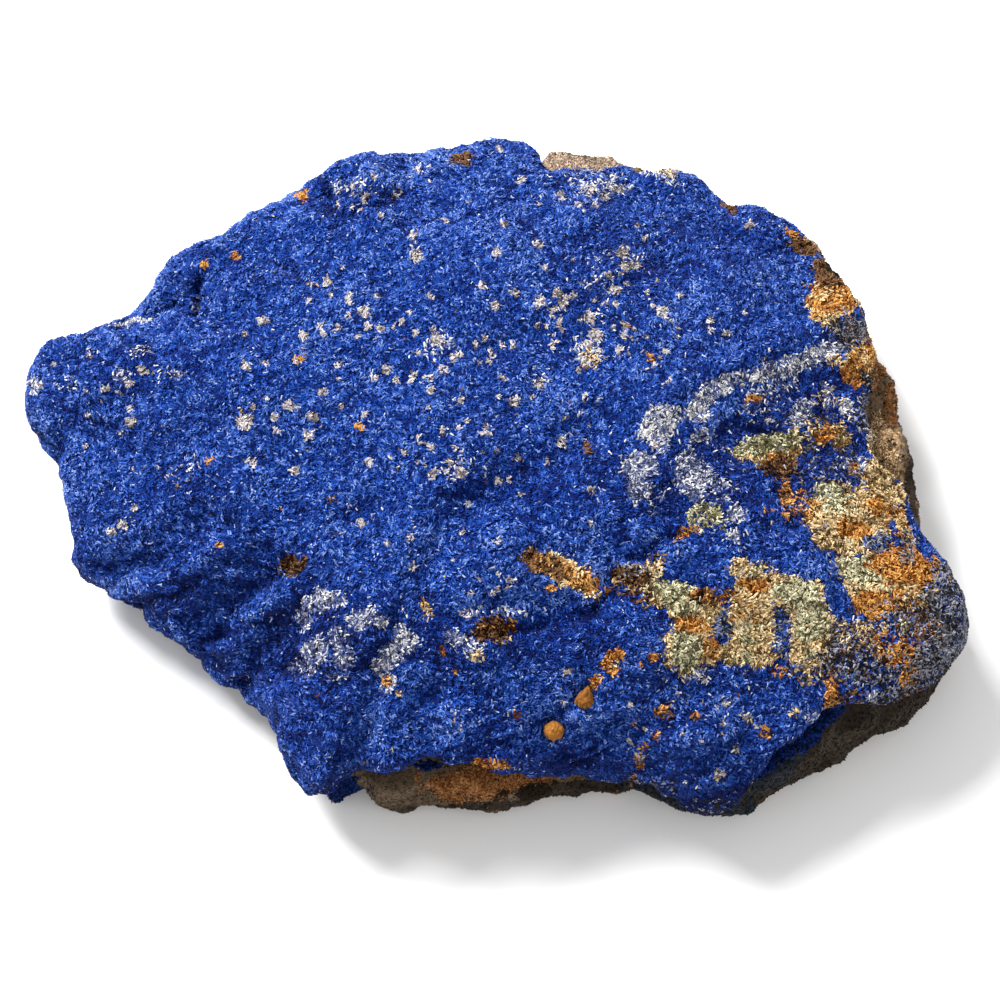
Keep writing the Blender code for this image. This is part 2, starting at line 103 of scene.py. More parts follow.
# Stains on the crust as the camera sees them: across, down, half width, half height, turn in degrees, cover
STAINS = {
    # The pale kind is the bleached streak and its patches; its broad patches of low cover scatter lone pale
    # crystals that are partly painted highlights
    "pale": (
        (700, 470, 60, 50, 20, 0.16), (830, 650, 80, 50, 0, 0.14), (355, 640, 56, 44, 0, 0.1),
        (940, 640, 30, 50, 0, 0.16), (640, 440, 90, 60, 20, 0.12), (800, 400, 60, 40, 0, 0.1),
        (760, 480, 90, 70, 0, 0.1), (430, 430, 120, 80, 0, 0.07), (832, 350, 14, 8, 25, 0.7),
        (812, 357, 17, 9, 25, 0.7), (790, 364, 16, 9, 20, 0.7), (766, 372, 16, 9, 20, 0.65),
        (744, 377, 15, 8, 15, 0.6), (720, 388, 16, 9, 35, 0.65), (700, 402, 17, 11, 35, 0.8),
        (660, 425, 22, 14, 30, 0.9), (697, 412, 12, 10, 0, 0.8), (700, 436, 12, 8, 0, 0.5),
        (642, 464, 15, 11, 0, 0.85), (663, 448, 8, 8, 0, 0.6), (639, 489, 10, 11, 30, 0.75),
        (622, 471, 4, 4, 0, 0.6), (692, 476, 15, 20, 10, 0.88), (713, 483, 9, 9, 0, 0.55),
        (731, 488, 9, 6, 0, 0.45), (735, 515, 10, 9, 0, 0.8), (722, 498, 8, 6, 0, 0.4),
        (733, 535, 7, 7, 0, 0.8), (801, 410, 9, 12, 0, 0.7), (824, 396, 5, 12, 0, 0.6),
        (845, 409, 8, 8, 0, 0.75), (854, 462, 12, 6, 0, 0.5), (864, 474, 8, 10, 0, 0.7),
        (845, 330, 20, 12, 0, 0.25), (770, 395, 26, 14, 20, 0.4), (655, 505, 14, 8, 30, 0.3),
        (790, 422, 20, 8, 0, 0.3), (320, 603, 14, 11, 20, 0.75), (337, 600, 9, 8, 0, 0.6),
        (306, 620, 8, 10, 0, 0.55), (316, 648, 12, 10, 0, 0.75), (338, 638, 9, 11, 0, 0.6),
        (342, 660, 9, 9, 0, 0.65), (305, 668, 13, 8, 0, 0.6), (362, 620, 13, 10, 0, 0.85),
        (380, 622, 9, 8, 0, 0.8), (400, 638, 10, 11, 0, 0.8), (408, 646, 9, 9, 0, 0.7),
        (395, 655, 10, 9, 0, 0.7), (383, 667, 10, 9, 0, 0.65), (388, 683, 9, 9, 0, 0.55),
        (335, 676, 16, 6, 0, 0.3), (470, 645, 14, 10, 20, 0.5), (457, 639, 10, 8, 0, 0.6),
        (505, 611, 18, 7, 0, 0.3), (480, 611, 14, 7, 0, 0.35), (592, 325, 20, 16, 40, 0.25),
        (600, 280, 14, 26, 0, 0.28), (585, 350, 12, 12, 0, 0.4), (440, 342, 14, 10, 0, 0.4),
        (540, 383, 10, 8, 0, 0.35), (456, 470, 14, 10, 0, 0.35), (620, 258, 16, 16, 0, 0.3),
        (354, 186, 20, 9, 0, 0.35), (592, 192, 20, 9, 20, 0.4), (618, 190, 12, 6, 10, 0.5),
        (662, 176, 18, 8, -15, 0.62), (588, 178, 34, 8, 0, 0.3), (412, 246, 8, 16, 0, 0.25),
        (37, 385, 7, 10, 0, 0.45), (66, 385, 16, 6, 0, 0.28), (138, 352, 14, 8, 0, 0.35),
        (170, 374, 16, 7, 0, 0.3), (178, 468, 22, 14, 0, 0.22), (125, 376, 10, 8, 0, 0.4),
        (700, 676, 14, 7, 0, 0.4), (722, 704, 22, 14, 0, 0.2), (815, 724, 16, 14, 0, 0.3),
        (848, 632, 22, 14, 0, 0.4), (829, 640, 10, 12, 0, 0.6), (650, 772, 14, 10, 0, 0.1),
        (684, 782, 18, 12, 0, 0.1), (955, 655, 12, 18, 20, 0.35), (130, 323, 18, 3, 3, 0.8),
        (440, 165, 30, 8, 10, 0.2), (690, 655, 40, 20, 0, 0.1), (880, 668, 40, 26, 0, 0.25),
        (950, 610, 16, 30, 20, 0.3), (860, 700, 30, 10, 0, 0.2), (728, 795, 20, 8, 0, 0.15),
    ),
    "cream": (
        (856, 513, 40, 25, -10, 0.97), (846, 541, 25, 14, -15, 0.97), (880, 500, 18, 20, 0, 0.9),
        (901, 524, 8, 22, 20, 0.8), (868, 575, 33, 21, 0, 0.97), (906, 596, 22, 15, 0, 0.9),
        (880, 445, 11, 26, 5, 0.85), (877, 478, 12, 18, 0, 0.9), (820, 520, 14, 18, 0, 0.7),
        (672, 600, 28, 14, -10, 0.95), (702, 612, 34, 15, -15, 0.9), (684, 644, 20, 25, 0, 0.97),
        (750, 620, 24, 36, 0, 0.98), (742, 654, 30, 12, 0, 0.96), (712, 655, 14, 10, 0, 0.9),
        (795, 592, 31, 13, 5, 0.96), (811, 630, 19, 38, -4, 0.96), (746, 570, 18, 10, 0, 0.8),
        (774, 580, 14, 9, 0, 0.8), (640, 582, 28, 10, -15, 0.65), (652, 570, 12, 9, 30, 0.6),
        (850, 642, 28, 9, 0, 0.5), (872, 628, 22, 9, 0, 0.55), (822, 660, 12, 12, 0, 0.6),
        (790, 448, 10, 12, 0, 0.8), (768, 456, 24, 9, 5, 0.8), (826, 434, 18, 9, 0, 0.65),
        (840, 442, 8, 7, 0, 0.75), (815, 422, 9, 5, 0, 0.6), (827, 318, 11, 8, 0, 0.9),
        (666, 173, 12, 5, -15, 0.55), (856, 392, 22, 26, 0, 0.2), (832, 412, 30, 20, 0, 0.25),
        (834, 360, 9, 7, 0, 0.7), (822, 292, 12, 9, 0, 0.5), (560, 570, 34, 13, -25, 0.85),
        (582, 580, 20, 8, -20, 0.5), (590, 358, 7, 11, 0, 0.5), (795, 713, 6, 4, 0, 0.6),
        (748, 720, 7, 4, 0, 0.6), (476, 656, 9, 5, 0, 0.6), (426, 609, 6, 12, 0, 0.5),
        (395, 693, 9, 3, 0, 0.4), (722, 775, 5, 7, 0, 0.45), (566, 673, 4, 4, 0, 0.6),
        (848, 310, 8, 16, 20, 0.3), (800, 505, 24, 14, 0, 0.25), (905, 640, 40, 30, 0, 0.2),
        (740, 700, 60, 20, 0, 0.08), (496, 640, 16, 6, 0, 0.4), (861, 365, 22, 14, 30, 0.97),
        (828, 304, 20, 18, 0, 0.95), (846, 296, 10, 18, 20, 0.8), (612, 664, 7, 7, 0, 0.6),
    ),
    "green": (
        (674, 594, 26, 13, -15, 0.85), (685, 650, 15, 19, 0, 0.95), (693, 606, 11, 10, 0, 0.7),
        (746, 634, 14, 14, 0, 0.55), (796, 590, 26, 10, 5, 0.85), (811, 620, 14, 24, 0, 0.8),
        (836, 501, 21, 12, -15, 0.85), (860, 572, 25, 15, 0, 0.85), (894, 582, 13, 12, 0, 0.6),
        (768, 446, 25, 10, 6, 0.85), (846, 540, 16, 8, -15, 0.4), (703, 516, 17, 12, 30, 0.7),
        (722, 520, 10, 8, 0, 0.4), (902, 626, 9, 8, 0, 0.6), (757, 568, 14, 8, 0, 0.4),
        (742, 658, 14, 7, 0, 0.5), (814, 654, 9, 10, 0, 0.5), (560, 560, 8, 5, 0, 0.3),
    ),
    "ochre": (
        (854, 531, 15, 11, 0, 0.8), (905, 566, 34, 16, -12, 0.9), (924, 573, 15, 14, -20, 0.96),
        (876, 606, 21, 13, 0, 0.96), (877, 503, 9, 8, 0, 0.85), (864, 500, 30, 20, 0, 0.22),
        (800, 508, 20, 15, 0, 0.45), (786, 492, 5, 17, 0, 0.65), (825, 433, 8, 7, 0, 0.95),
        (852, 467, 5, 6, 0, 0.7), (908, 596, 14, 10, 0, 0.5), (896, 520, 12, 22, 20, 0.4),
        (690, 626, 17, 8, 0, 0.85), (757, 584, 15, 9, 8, 0.85), (712, 648, 9, 12, 0, 0.6),
        (712, 594, 20, 9, 0, 0.55), (746, 610, 16, 24, 0, 0.25), (896, 652, 24, 9, 0, 0.85),
        (908, 677, 9, 17, 0, 0.9), (831, 694, 8, 24, -5, 0.75), (934, 628, 10, 9, 0, 0.65),
        (880, 640, 30, 16, 0, 0.3), (823, 300, 17, 15, 0, 0.6), (844, 298, 12, 20, 20, 0.72),
        (850, 322, 7, 12, 20, 0.5), (864, 360, 18, 13, 35, 0.6), (874, 348, 9, 9, 0, 0.65),
        (853, 376, 14, 12, 0, 0.66), (878, 378, 7, 16, -10, 0.7), (889, 405, 6, 18, -10, 0.4),
        (829, 262, 8, 5, 0, 0.6), (768, 512, 8, 4, 0, 0.35), (686, 533, 12, 5, 30, 0.65),
        (558, 570, 32, 12, -25, 0.62), (584, 580, 16, 7, -20, 0.65), (639, 574, 14, 4, 0, 0.5),
        (289, 562, 8, 6, 20, 0.5), (778, 462, 12, 6, 0, 0.6), (496, 626, 17, 9, 0, 0.75),
        (488, 764, 16, 5, 0, 0.7), (606, 662, 7, 6, 40, 0.9), (614, 671, 5, 5, 0, 0.9),
        (619, 656, 4, 6, 0, 0.9), (594, 684, 5, 8, -30, 0.85), (650, 654, 5, 4, 0, 0.9),
        (638, 664, 3, 2, 0, 0.8), (663, 712, 5, 5, 0, 0.75), (635, 719, 8, 7, 0, 0.35),
        (697, 716, 3, 4, 0, 0.7), (656, 737, 6, 5, 0, 0.5), (643, 744, 5, 5, 0, 0.6),
        (639, 762, 6, 8, 0, 0.55), (633, 776, 3, 5, 0, 0.7), (768, 731, 5, 5, 0, 0.55),
        (775, 672, 8, 7, 0, 0.6), (518, 715, 4, 4, 0, 0.6), (455, 671, 3, 3, 0, 0.8),
        (444, 652, 3, 4, 0, 0.6), (386, 680, 5, 5, 0, 0.6), (236, 256, 6, 5, 0, 0.8),
        (204, 266, 5, 4, 0, 0.7), (303, 196, 6, 5, 0, 0.8), (360, 426, 5, 4, 0, 0.85),
        (210, 461, 5, 3, 0, 0.7), (297, 361, 6, 4, 20, 0.6), (218, 543, 4, 3, 0, 0.8),
        (655, 359, 8, 3, 0, 0.6), (757, 397, 9, 3, 20, 0.6), (587, 362, 4, 7, 0, 0.5),
        (549, 589, 4, 4, 0, 0.85), (609, 592, 5, 4, 0, 0.8), (866, 625, 18, 5, 0, 0.35),
        (796, 236, 10, 4, -35, 0.8), (812, 246, 6, 6, -35, 0.7), (425, 607, 4, 9, 0, 0.4),
        (588, 446, 4, 5, 0, 0.6),
    ),
    "brown": (
        (890, 655, 44, 32, 0, 0.36), (915, 622, 30, 20, 0, 0.5), (730, 600, 60, 30, 0, 0.16),
        (860, 545, 40, 60, 0, 0.12), (533, 560, 13, 10, -30, 0.65), (550, 568, 20, 10, -25, 0.66),
        (584, 584, 14, 6, -20, 0.3), (492, 630, 20, 12, 5, 0.76), (290, 566, 12, 8, 20, 0.85),
        (783, 468, 14, 10, 0, 0.9), (783, 490, 5, 9, 0, 0.5), (762, 580, 16, 6, 0, 0.3),
        (702, 597, 12, 9, 0, 0.55), (630, 577, 18, 8, -10, 0.75), (642, 594, 18, 8, 0, 0.5),
        (660, 562, 7, 8, 20, 0.4), (684, 536, 11, 4, 30, 0.5), (834, 704, 10, 12, 0, 0.55),
        (828, 274, 12, 13, 15, 0.9), (855, 340, 14, 7, 20, 0.5), (889, 410, 8, 22, -10, 0.8),
        (887, 455, 7, 28, 0, 0.35), (931, 634, 14, 11, 0, 0.45), (866, 648, 34, 15, 0, 0.4),
        (885, 668, 34, 17, 0, 0.35), (850, 665, 34, 22, 0, 0.35), (728, 207, 8, 4, -30, 0.7),
        (462, 160, 11, 4, 0, 0.7), (652, 168, 9, 4, 0, 0.6), (804, 246, 10, 7, -35, 0.85),
        (850, 700, 26, 12, 0, 0.4), (795, 518, 16, 12, 0, 0.3), (690, 716, 3, 3, 0, 0.6),
        (667, 714, 7, 6, 0, 0.4), (768, 733, 6, 6, 0, 0.35), (330, 497, 4, 3, 0, 0.7),
        (587, 448, 4, 4, 0, 0.8), (697, 720, 4, 3, 0, 0.7), (909, 545, 8, 14, 0, 0.3),
    ),
    "slate": (
        (948, 616, 22, 38, 12, 0.68), (938, 664, 28, 30, -20, 0.72), (905, 692, 34, 12, 15, 0.75),
        (858, 664, 46, 22, 0, 0.5), (846, 640, 24, 15, 0, 0.4), (850, 334, 20, 15, 20, 0.68),
        (869, 382, 6, 10, 0, 0.8), (872, 412, 14, 26, 0, 0.6), (877, 543, 15, 10, 0, 0.5),
        (723, 624, 9, 15, 0, 0.45), (782, 630, 10, 23, 0, 0.4), (632, 572, 16, 5, 0, 0.5),
        (196, 305, 5, 10, 0, 0.4), (900, 618, 36, 14, 0, 0.35), (906, 545, 8, 14, 10, 0.5),
        (946, 578, 12, 14, 20, 0.7), (728, 808, 34, 10, 0, 0.35), (700, 814, 24, 9, 0, 0.3),
        (770, 785, 32, 10, 25, 0.35), (650, 786, 30, 6, 0, 0.3), (832, 470, 36, 26, 0, 0.3),
        (752, 577, 8, 4, 0, 0.3), (808, 425, 26, 14, 0, 0.25),
    ),
}

# Openings in the stains, where blue shows through: across, down, half width, half height
BARE_BLUE = (
    (722, 624, 9, 15), (782, 632, 9, 23), (877, 543, 14, 10), (892, 524, 4, 7), (834, 590, 11, 26),
    (846, 612, 8, 12), (700, 560, 28, 14), (664, 622, 7, 14),
)

# Stains on the bare rock: across, down, half width, half height, turn in degrees, cover
ROCK_STAINS = {
    "grey": (
        (400, 792, 44, 22, -5, 0.95), (912, 520, 16, 50, -10, 0.5), (640, 172, 20, 8, 0, 0.4),
    ),
    "iron": (
        (486, 782, 48, 16, 4, 0.97), (824, 296, 20, 16, 0, 0.9), (848, 300, 12, 26, 20, 0.9),
        (865, 360, 20, 24, 0, 0.8), (890, 405, 10, 22, 0, 0.6), (530, 790, 20, 10, 5, 0.5),
    ),
    "tan": (
        (805, 238, 18, 8, -35, 0.8),
    ),
    "bleached": (
        (580, 165, 42, 9, 0, 0.95), (656, 174, 16, 7, 0, 0.9),
    ),
    "sandy": (
        (881, 462, 13, 42, 5, 0.95), (870, 368, 10, 18, 0, 0.5), (898, 455, 6, 30, -5, 0.4),
    ),
    "dark": (
        (838, 752, 116, 30, 31, 0.98), (912, 490, 8, 60, -8, 0.7), (575, 789, 62, 9, 5, 0.95),
        (470, 808, 70, 5, 3, 0.7), (830, 265, 9, 14, 15, 0.9), (935, 690, 40, 26, 40, 0.9),
        (760, 800, 40, 14, 20, 0.9),
    ),
    "navy": (
        (680, 798, 50, 16, -20, 0.97), (728, 815, 30, 8, 0, 0.9), (770, 778, 34, 9, 30, 0.7),
    ),
    "film": (
        (343, 790, 19, 13, 0, 0.97), (803, 738, 46, 9, 40, 0.8), (429, 764, 15, 5, 0, 0.8),
        (760, 770, 16, 8, 30, 0.7),
    ),
}

# Where the crust is craggier: across, down, half width, half height, how much more
CRAGGY = (
    (190, 620, 130, 80, 1.0), (330, 690, 120, 60, 0.55), (90, 500, 60, 90, 0.4), (640, 560, 90, 55, 0.6),
    (600, 750, 130, 45, 0.55), (720, 780, 60, 40, 0.5), (205, 300, 50, 50, 0.8), (380, 190, 130, 40, 0.5),
    (790, 480, 100, 120, 0.45), (500, 520, 120, 60, 0.35), (300, 790, 50, 30, 0.5), (450, 620, 50, 40, 0.6),
)

# Painted shade on the crust, which darkens the tones of its crystals and grains, and painted light where the
# amount is negative: across, down, half width, half height, turn in degrees, how much
PAINTED_SHADE_PATCHES = (
    (330, 640, 60, 40, 0, 0.2), (300, 715, 50, 24, 0, 0.12), (880, 482, 20, 14, 0, 0.15),
    (952, 640, 24, 60, 10, 0.08), (470, 642, 130, 20, 0, 0.22), (630, 625, 70, 26, 20, 0.2),
    (600, 480, 50, 30, 0, 0.14), (700, 480, 60, 34, 0, 0.2), (800, 440, 60, 40, 0, 0.18),
    (610, 280, 50, 40, 0, 0.14), (700, 250, 60, 30, 0, 0.1), (780, 670, 110, 24, 0, 0.15),
    (190, 482, 40, 18, 0, 0.16), (150, 370, 45, 22, 0, 0.14), (680, 720, 24, 16, 0, 0.18),
    (150, 600, 40, 16, 20, 0.16), (640, 500, 100, 30, 0, 0.1), (520, 480, 40, 20, 0, 0.1),
    (360, 205, 26, 16, 0, 0.14), (915, 520, 14, 50, -10, 0.1), (600, 766, 120, 13, -5, 0.14),
    (450, 760, 80, 13, 0, 0.1), (862, 362, 26, 24, 0, -0.6), (838, 402, 48, 30, 0, 0.12),
    (856, 330, 22, 16, 0, 0.15), (880, 410, 14, 30, 0, 0.1), (725, 804, 52, 14, 10, 0.38),
    (640, 792, 40, 8, 0, 0.3), (950, 680, 26, 22, 15, 0.2), (915, 696, 44, 12, 25, 0.25),
    (850, 650, 34, 24, 0, 0.12), (240, 645, 40, 26, 20, 0.08), (420, 764, 70, 10, 0, 0.22),
    (790, 752, 50, 10, 40, 0.22), (338, 786, 16, 12, 0, 0.2),
)

# Fine creases in the crust: the places that each passes, then its depth in millimetres and its half width
CREASES = (
    (((140, 608), (160, 601), (180, 594), (196, 578)), 0.9, 8.0),
    (((206, 642), (236, 633), (262, 619), (296, 603)), 0.5, 8.0),
    (((204, 664), (235, 669), (275, 672), (300, 668)), 0.7, 9.0),
    (((232, 690), (244, 684), (262, 684)), 0.8, 7.0), (((280, 560), (300, 566), (314, 578)), 0.5, 8.0),
    (((340, 746), (333, 768), (322, 796)), 0.5, 4.0), (((350, 645), (362, 658), (374, 668)), 0.5, 9.0),
    (((640, 735), (610, 750), (572, 770)), 0.8, 4.5), (((612, 737), (585, 750), (556, 764)), 0.5, 4.5),
    (((490, 742), (530, 750), (586, 750)), 0.3, 5.0), (((428, 604), (440, 614), (458, 624)), 0.5, 7.0),
    (((632, 558), (658, 546), (682, 531)), 0.6, 6.0), (((612, 590), (602, 602), (588, 618)), 0.7, 5.0),
    (((630, 520), (655, 514), (680, 520)), 0.3, 5.0),
    (((464, 638), (500, 634), (557, 626), (614, 602), (650, 577)), 0.5, 8.0),
    (((120, 330), (128, 340), (150, 348)), 0.4, 6.0), (((200, 284), (197, 302), (196, 316)), 1.1, 4.5),
    (((345, 352), (357, 358), (372, 356)), 0.4, 5.0), (((100, 425), (120, 432), (150, 428)), 0.35, 6.0),
    (((60, 410), (80, 412), (110, 405)), 0.25, 5.0), (((260, 520), (285, 512), (320, 514)), 0.35, 6.0),
    (((700, 440), (735, 425), (760, 430), (800, 452)), 0.5, 6.0),
    (((800, 455), (840, 445), (870, 450)), 0.3, 6.0), (((326, 190), (331, 204), (336, 222)), 0.9, 7.0),
    (((352, 196), (372, 206), (396, 200)), 0.6, 9.0), (((280, 262), (292, 268), (300, 280)), 0.5, 6.0),
    (((170, 560), (200, 545), (232, 520)), 0.4, 8.0), (((230, 600), (262, 580), (280, 570)), 0.4, 7.0),
    (((400, 700), (450, 690), (500, 700)), 0.25, 7.0), (((780, 640), (784, 610)), 0.2, 6.0),
)

# Chalky specks, most of them less than half a millimetre in radius: across, down, radius
SPECKS = (
    (416, 256, 7.5), (414, 237, 4), (245, 422, 8.5), (245, 367, 5), (289, 405, 5), (322, 391, 5),
    (274, 416, 5), (309, 436, 5.5), (263, 320, 6), (354, 185, 4), (373, 178, 4), (365, 196, 3.5),
    (328, 282, 5), (309, 299, 3.5), (429, 296, 4), (365, 312, 6), (403, 320, 3.5), (381, 329, 5),
    (482, 286, 5), (494, 307, 4.5), (437, 341, 7), (387, 370, 5), (412, 374, 4), (442, 370, 5),
    (418, 353, 4.5), (430, 392, 4.5), (397, 381, 4), (459, 355, 4.5), (477, 345, 4), (489, 361, 3.5),
    (462, 401, 4), (442, 430, 4), (486, 424, 3.5), (142, 370, 4.5), (129, 384, 4.5), (105, 389, 4.5),
    (92, 355, 3.5), (131, 422, 6), (314, 417, 5), (252, 462, 5), (295, 471, 5), (367, 463, 5),
    (448, 462, 4.5), (461, 473, 6.5), (432, 476, 4), (322, 334, 4), (304, 336, 4.5), (622, 253, 6),
    (626, 267, 5.5), (608, 275, 4.5), (636, 266, 5), (515, 293, 5), (558, 293, 5.5), (540, 303, 6),
    (554, 309, 5.5), (563, 301, 5), (575, 294, 3.5), (617, 290, 4), (647, 292, 3.5), (663, 313, 6.5),
    (711, 321, 4), (589, 318, 6), (596, 335, 6.5), (624, 336, 4), (626, 324, 3.5), (538, 326, 3.5),
    (552, 347, 3.5), (502, 345, 3.5), (513, 346, 3.5), (540, 383, 5.5), (515, 402, 6.5), (585, 397, 4),
    (561, 443, 5.5), (547, 461, 4), (520, 458, 3.5), (592, 490, 4), (591, 192, 5), (618, 190, 5),
    (563, 196, 4), (504, 225, 4), (538, 245, 4), (497, 252, 4.5), (521, 180, 4), (499, 148, 3.5),
    (749, 225, 4.5), (645, 238, 4), (499, 482, 3.5), (591, 524, 4), (461, 533, 3.5), (362, 523, 5),
    (413, 567, 3.5), (509, 580, 3.5), (471, 595, 3.5), (498, 590, 3), (123, 525, 5), (112, 532, 4.5),
    (178, 487, 3.5), (135, 506, 4), (719, 774, 5), (297, 361, 4), (587, 345, 6), (584, 362, 5),
    (598, 352, 4), (410, 537, 4), (569, 673, 4), (563, 701, 3.5), (640, 759, 5), (459, 727, 3.5),
    (654, 444, 4), (560, 320, 3.5),
)

# Where smaller specks are sprinkled: across, down, half width, half height, how many. Then their radii
SPRINKLED = (
    (455, 420, 70, 90, 44), (622, 310, 56, 60, 30), (370, 325, 70, 60, 20), (285, 405, 56, 50, 12),
    (560, 300, 50, 40, 14), (700, 330, 60, 40, 10), (392, 195, 56, 26, 12), (592, 195, 60, 18, 12),
    (480, 575, 56, 40, 10), (700, 725, 80, 44, 16), (110, 395, 60, 50, 12), (800, 430, 60, 60, 10),
)
SPRINKLED_RADIUS = (1.8, 3.6)

# Blotches on the crust's unseen sides: kind of stain, distance between them in millimetres, seed, cover
CRUST_BLOTCHES = (("ochre", 6.0, 31, 0.55), ("cream", 5.0, 37, 0.45), ("slate", 9.0, 33, 0.8))

# Blotches on the rock's unseen sides: kind of stain, distance between them in millimetres, seed
ROCK_BLOTCHES = (("iron", 8.0, 161), ("tan", 5.0, 171), ("dark", 7.0, 175), ("grey", 10.0, 177))

# How loosely the grains of each stain lie, from 0, a clear edge, to 1, single grains. Later kinds lie over
# earlier ones
LOOSENESS = {"pale": 0.62, "cream": 0.5, "green": 0.5, "ochre": 0.5, "brown": 0.55, "slate": 0.8}

# Kinds of rock stain that crumble, so that they carry more and prouder grains
CRUMBLY = ("bleached", "sandy", "iron", "film")

# Colours that aren't settings: the blue between bleached grains, and a near-black bluish film on the rock at
# the front, deep and light
BLEACHED_GAPS = (0.1, 0.125, 0.27)
NAVY_DEEP, NAVY_LIGHT = (0.003, 0.005, 0.009), (0.018, 0.023, 0.032)

# Seeds of the random draws
SEEDS = {"crust": 5, "crystals": 17, "sand": 23, "specks": 47}

# ---------------------------------------------------------------- repeatable unevenness

# Odd factors that stir a cell's place into bits without a pattern, and the shifts and factors that finish it
STIR = (0x9E3779B1, 0x85EBCA77, 0xC2B2AE3D)
FINISH = ((15, 0x2C1B3C6D), (12, 0x297A2D39))


def scatter(cells, seed):
    """A repeatable number from 0 to 1 for each whole-numbered cell."""
    whole = cells.astype(np.int64).astype(np.uint32)
    x, y, z = (whole[..., axis] * np.uint32(STIR[axis]) for axis in range(3))
    bits = x ^ y ^ z ^ np.uint32(seed * 7919 + 12345)
    for shift, factor in FINISH:
        bits ^= bits >> np.uint32(shift)
        bits *= np.uint32(factor)
    bits ^= bits >> np.uint32(15)
    return bits / 2.0 ** 32


def eased(share):
    """A share from 0 to 1 that sets off and arrives gently."""
    return share * share * (3.0 - 2.0 * share)


def ramp(values, start, end):
    """Rises smoothly from 0 at start to 1 at end."""
    return eased(np.clip((values - start) / (end - start), 0.0, 1.0))


def waves(points, spacing, seed):
    """Smooth unevenness from -1 to 1, whose swells are about this far apart."""
    scaled = points / spacing
    cell = np.floor(scaled)
    part = eased(scaled - cell)
    total = np.zeros(len(points))
    for corner in np.ndindex(2, 2, 2):
        weight = np.prod(np.where(np.array(corner) > 0, part, 1.0 - part), axis=1)
        total += weight * scatter(cell + corner, seed)
    return 2.0 * total - 1.0


def wave_vectors(points, spacing, seeds):
    """A smoothly uneven direction at each point: waves along the three axes, with a seed for each."""
    return np.stack([waves(points, spacing, seed) for seed in seeds], axis=1)


def fractal(points, spacing, seed, octaves=3, keep=0.5):
    """Waves with finer and weaker ones added, from about -1 to 1."""
    total, height, reach = np.zeros(len(points)), 1.0, 0.0
    for octave in range(octaves):
        total += height * waves(points, spacing / 2 ** octave, seed + octave)
        reach += height
        height *= keep
    return total / reach


def knobs(points, spacing, seed):
    """Distance to the nearest of many scattered centres, as a share of their spacing."""
    scaled = points / spacing
    cell = np.floor(scaled)
    nearest = np.full(len(points), 9.0)
    for step in np.ndindex(3, 3, 3):
        other = cell + np.array(step) - 1.0
        centre = other + np.stack([scatter(other, seed + axis) for axis in range(3)], axis=1)
        nearest = np.minimum(nearest, np.linalg.norm(scaled - centre, axis=1))
    return nearest


# ---------------------------------------------------------------- camera and stains

# Patches cover fully within the first share of their size, and have faded out at the second
STAIN_EDGE, BLUE_EDGE, SPECK_EDGE = (0.75, 1.55), (0.75, 1.15), (0.6, 1.35)

# How squarely a surface faces the camera as the stains of its seen side set in and are full, and as the
# blotches of its unseen side are full and have faded out
CRUST_SEEN, CRUST_UNSEEN = (0.0, 0.25), (-0.1, 0.15)
ROCK_SEEN, ROCK_UNSEEN = (-0.15, 0.1), (-0.2, 0.1)

# Levels of unevenness at which blotches set in and are full
CRUST_BLOTCH, ROCK_BLOTCH = (0.2, 0.5), (0.05, 0.5)

# How far the edges of stains and specks are pushed about, in the picture's units, and the share of a stain
# that bare blue keeps away
STAIN_SWAY, SPECK_SWAY = 7.0, 3.0
BLUE_SHARE = 0.85


def camera_axes():
    """The camera's right, up and backward directions."""
    turn, rise = math.radians(AZIMUTH), math.radians(ELEVATION)
    back = Vector((math.sin(turn) * math.cos(rise), -math.cos(turn) * math.cos(rise), math.sin(rise)))
    right = Vector((math.cos(turn), math.sin(turn), 0.0))
    return right, back.cross(right), back


def towards_camera(normals):
    """How squarely each normal faces the camera, from -1 to 1."""
    return normals @ np.array(camera_axes()[2])


def in_picture(points):
    """Where the camera sees these points: across and down, in thousandths of its picture."""
    right, up, back = (np.array(axis) for axis in camera_axes())
    place = points - AIM
    scale = LENS / SENSOR * PICTURE / (DISTANCE - place @ back)
    return (PICTURE / 2 + (place @ right - AIM_RIGHT) * scale,
            PICTURE / 2 - (place @ up - AIM_UP) * scale)


def patch_cover(across, down, patches, uneven):
    """How much the patches cover at these places of the picture, from 0 to 1.

    Unevenness, from -1 to 1, makes their edges ragged.
    """
    total = np.zeros(len(across))
    for x, y, half_width, half_height, turn, most in patches:
        angle = math.radians(-turn)
        along = (across - x) * math.cos(angle) + (down - y) * math.sin(angle)
        aside = (down - y) * math.cos(angle) - (across - x) * math.sin(angle)
        reach = np.hypot(along / half_width, aside / half_height) * (1.0 + 0.5 * uneven)
        total = np.maximum(total, most * (1.0 - ramp(reach, *STAIN_EDGE)))
    return total


def warped(points):
    """Where the camera sees these points, pushed about a little, and the unevenness of stain edges there."""
    across, down = in_picture(points)
    across = across + STAIN_SWAY * fractal(points, 1.8, 11, 3, 0.7)
    down = down + STAIN_SWAY * fractal(points, 1.8, 21, 3, 0.7)
    return across, down, fractal(points, 1.2, 25, 3, 0.7)


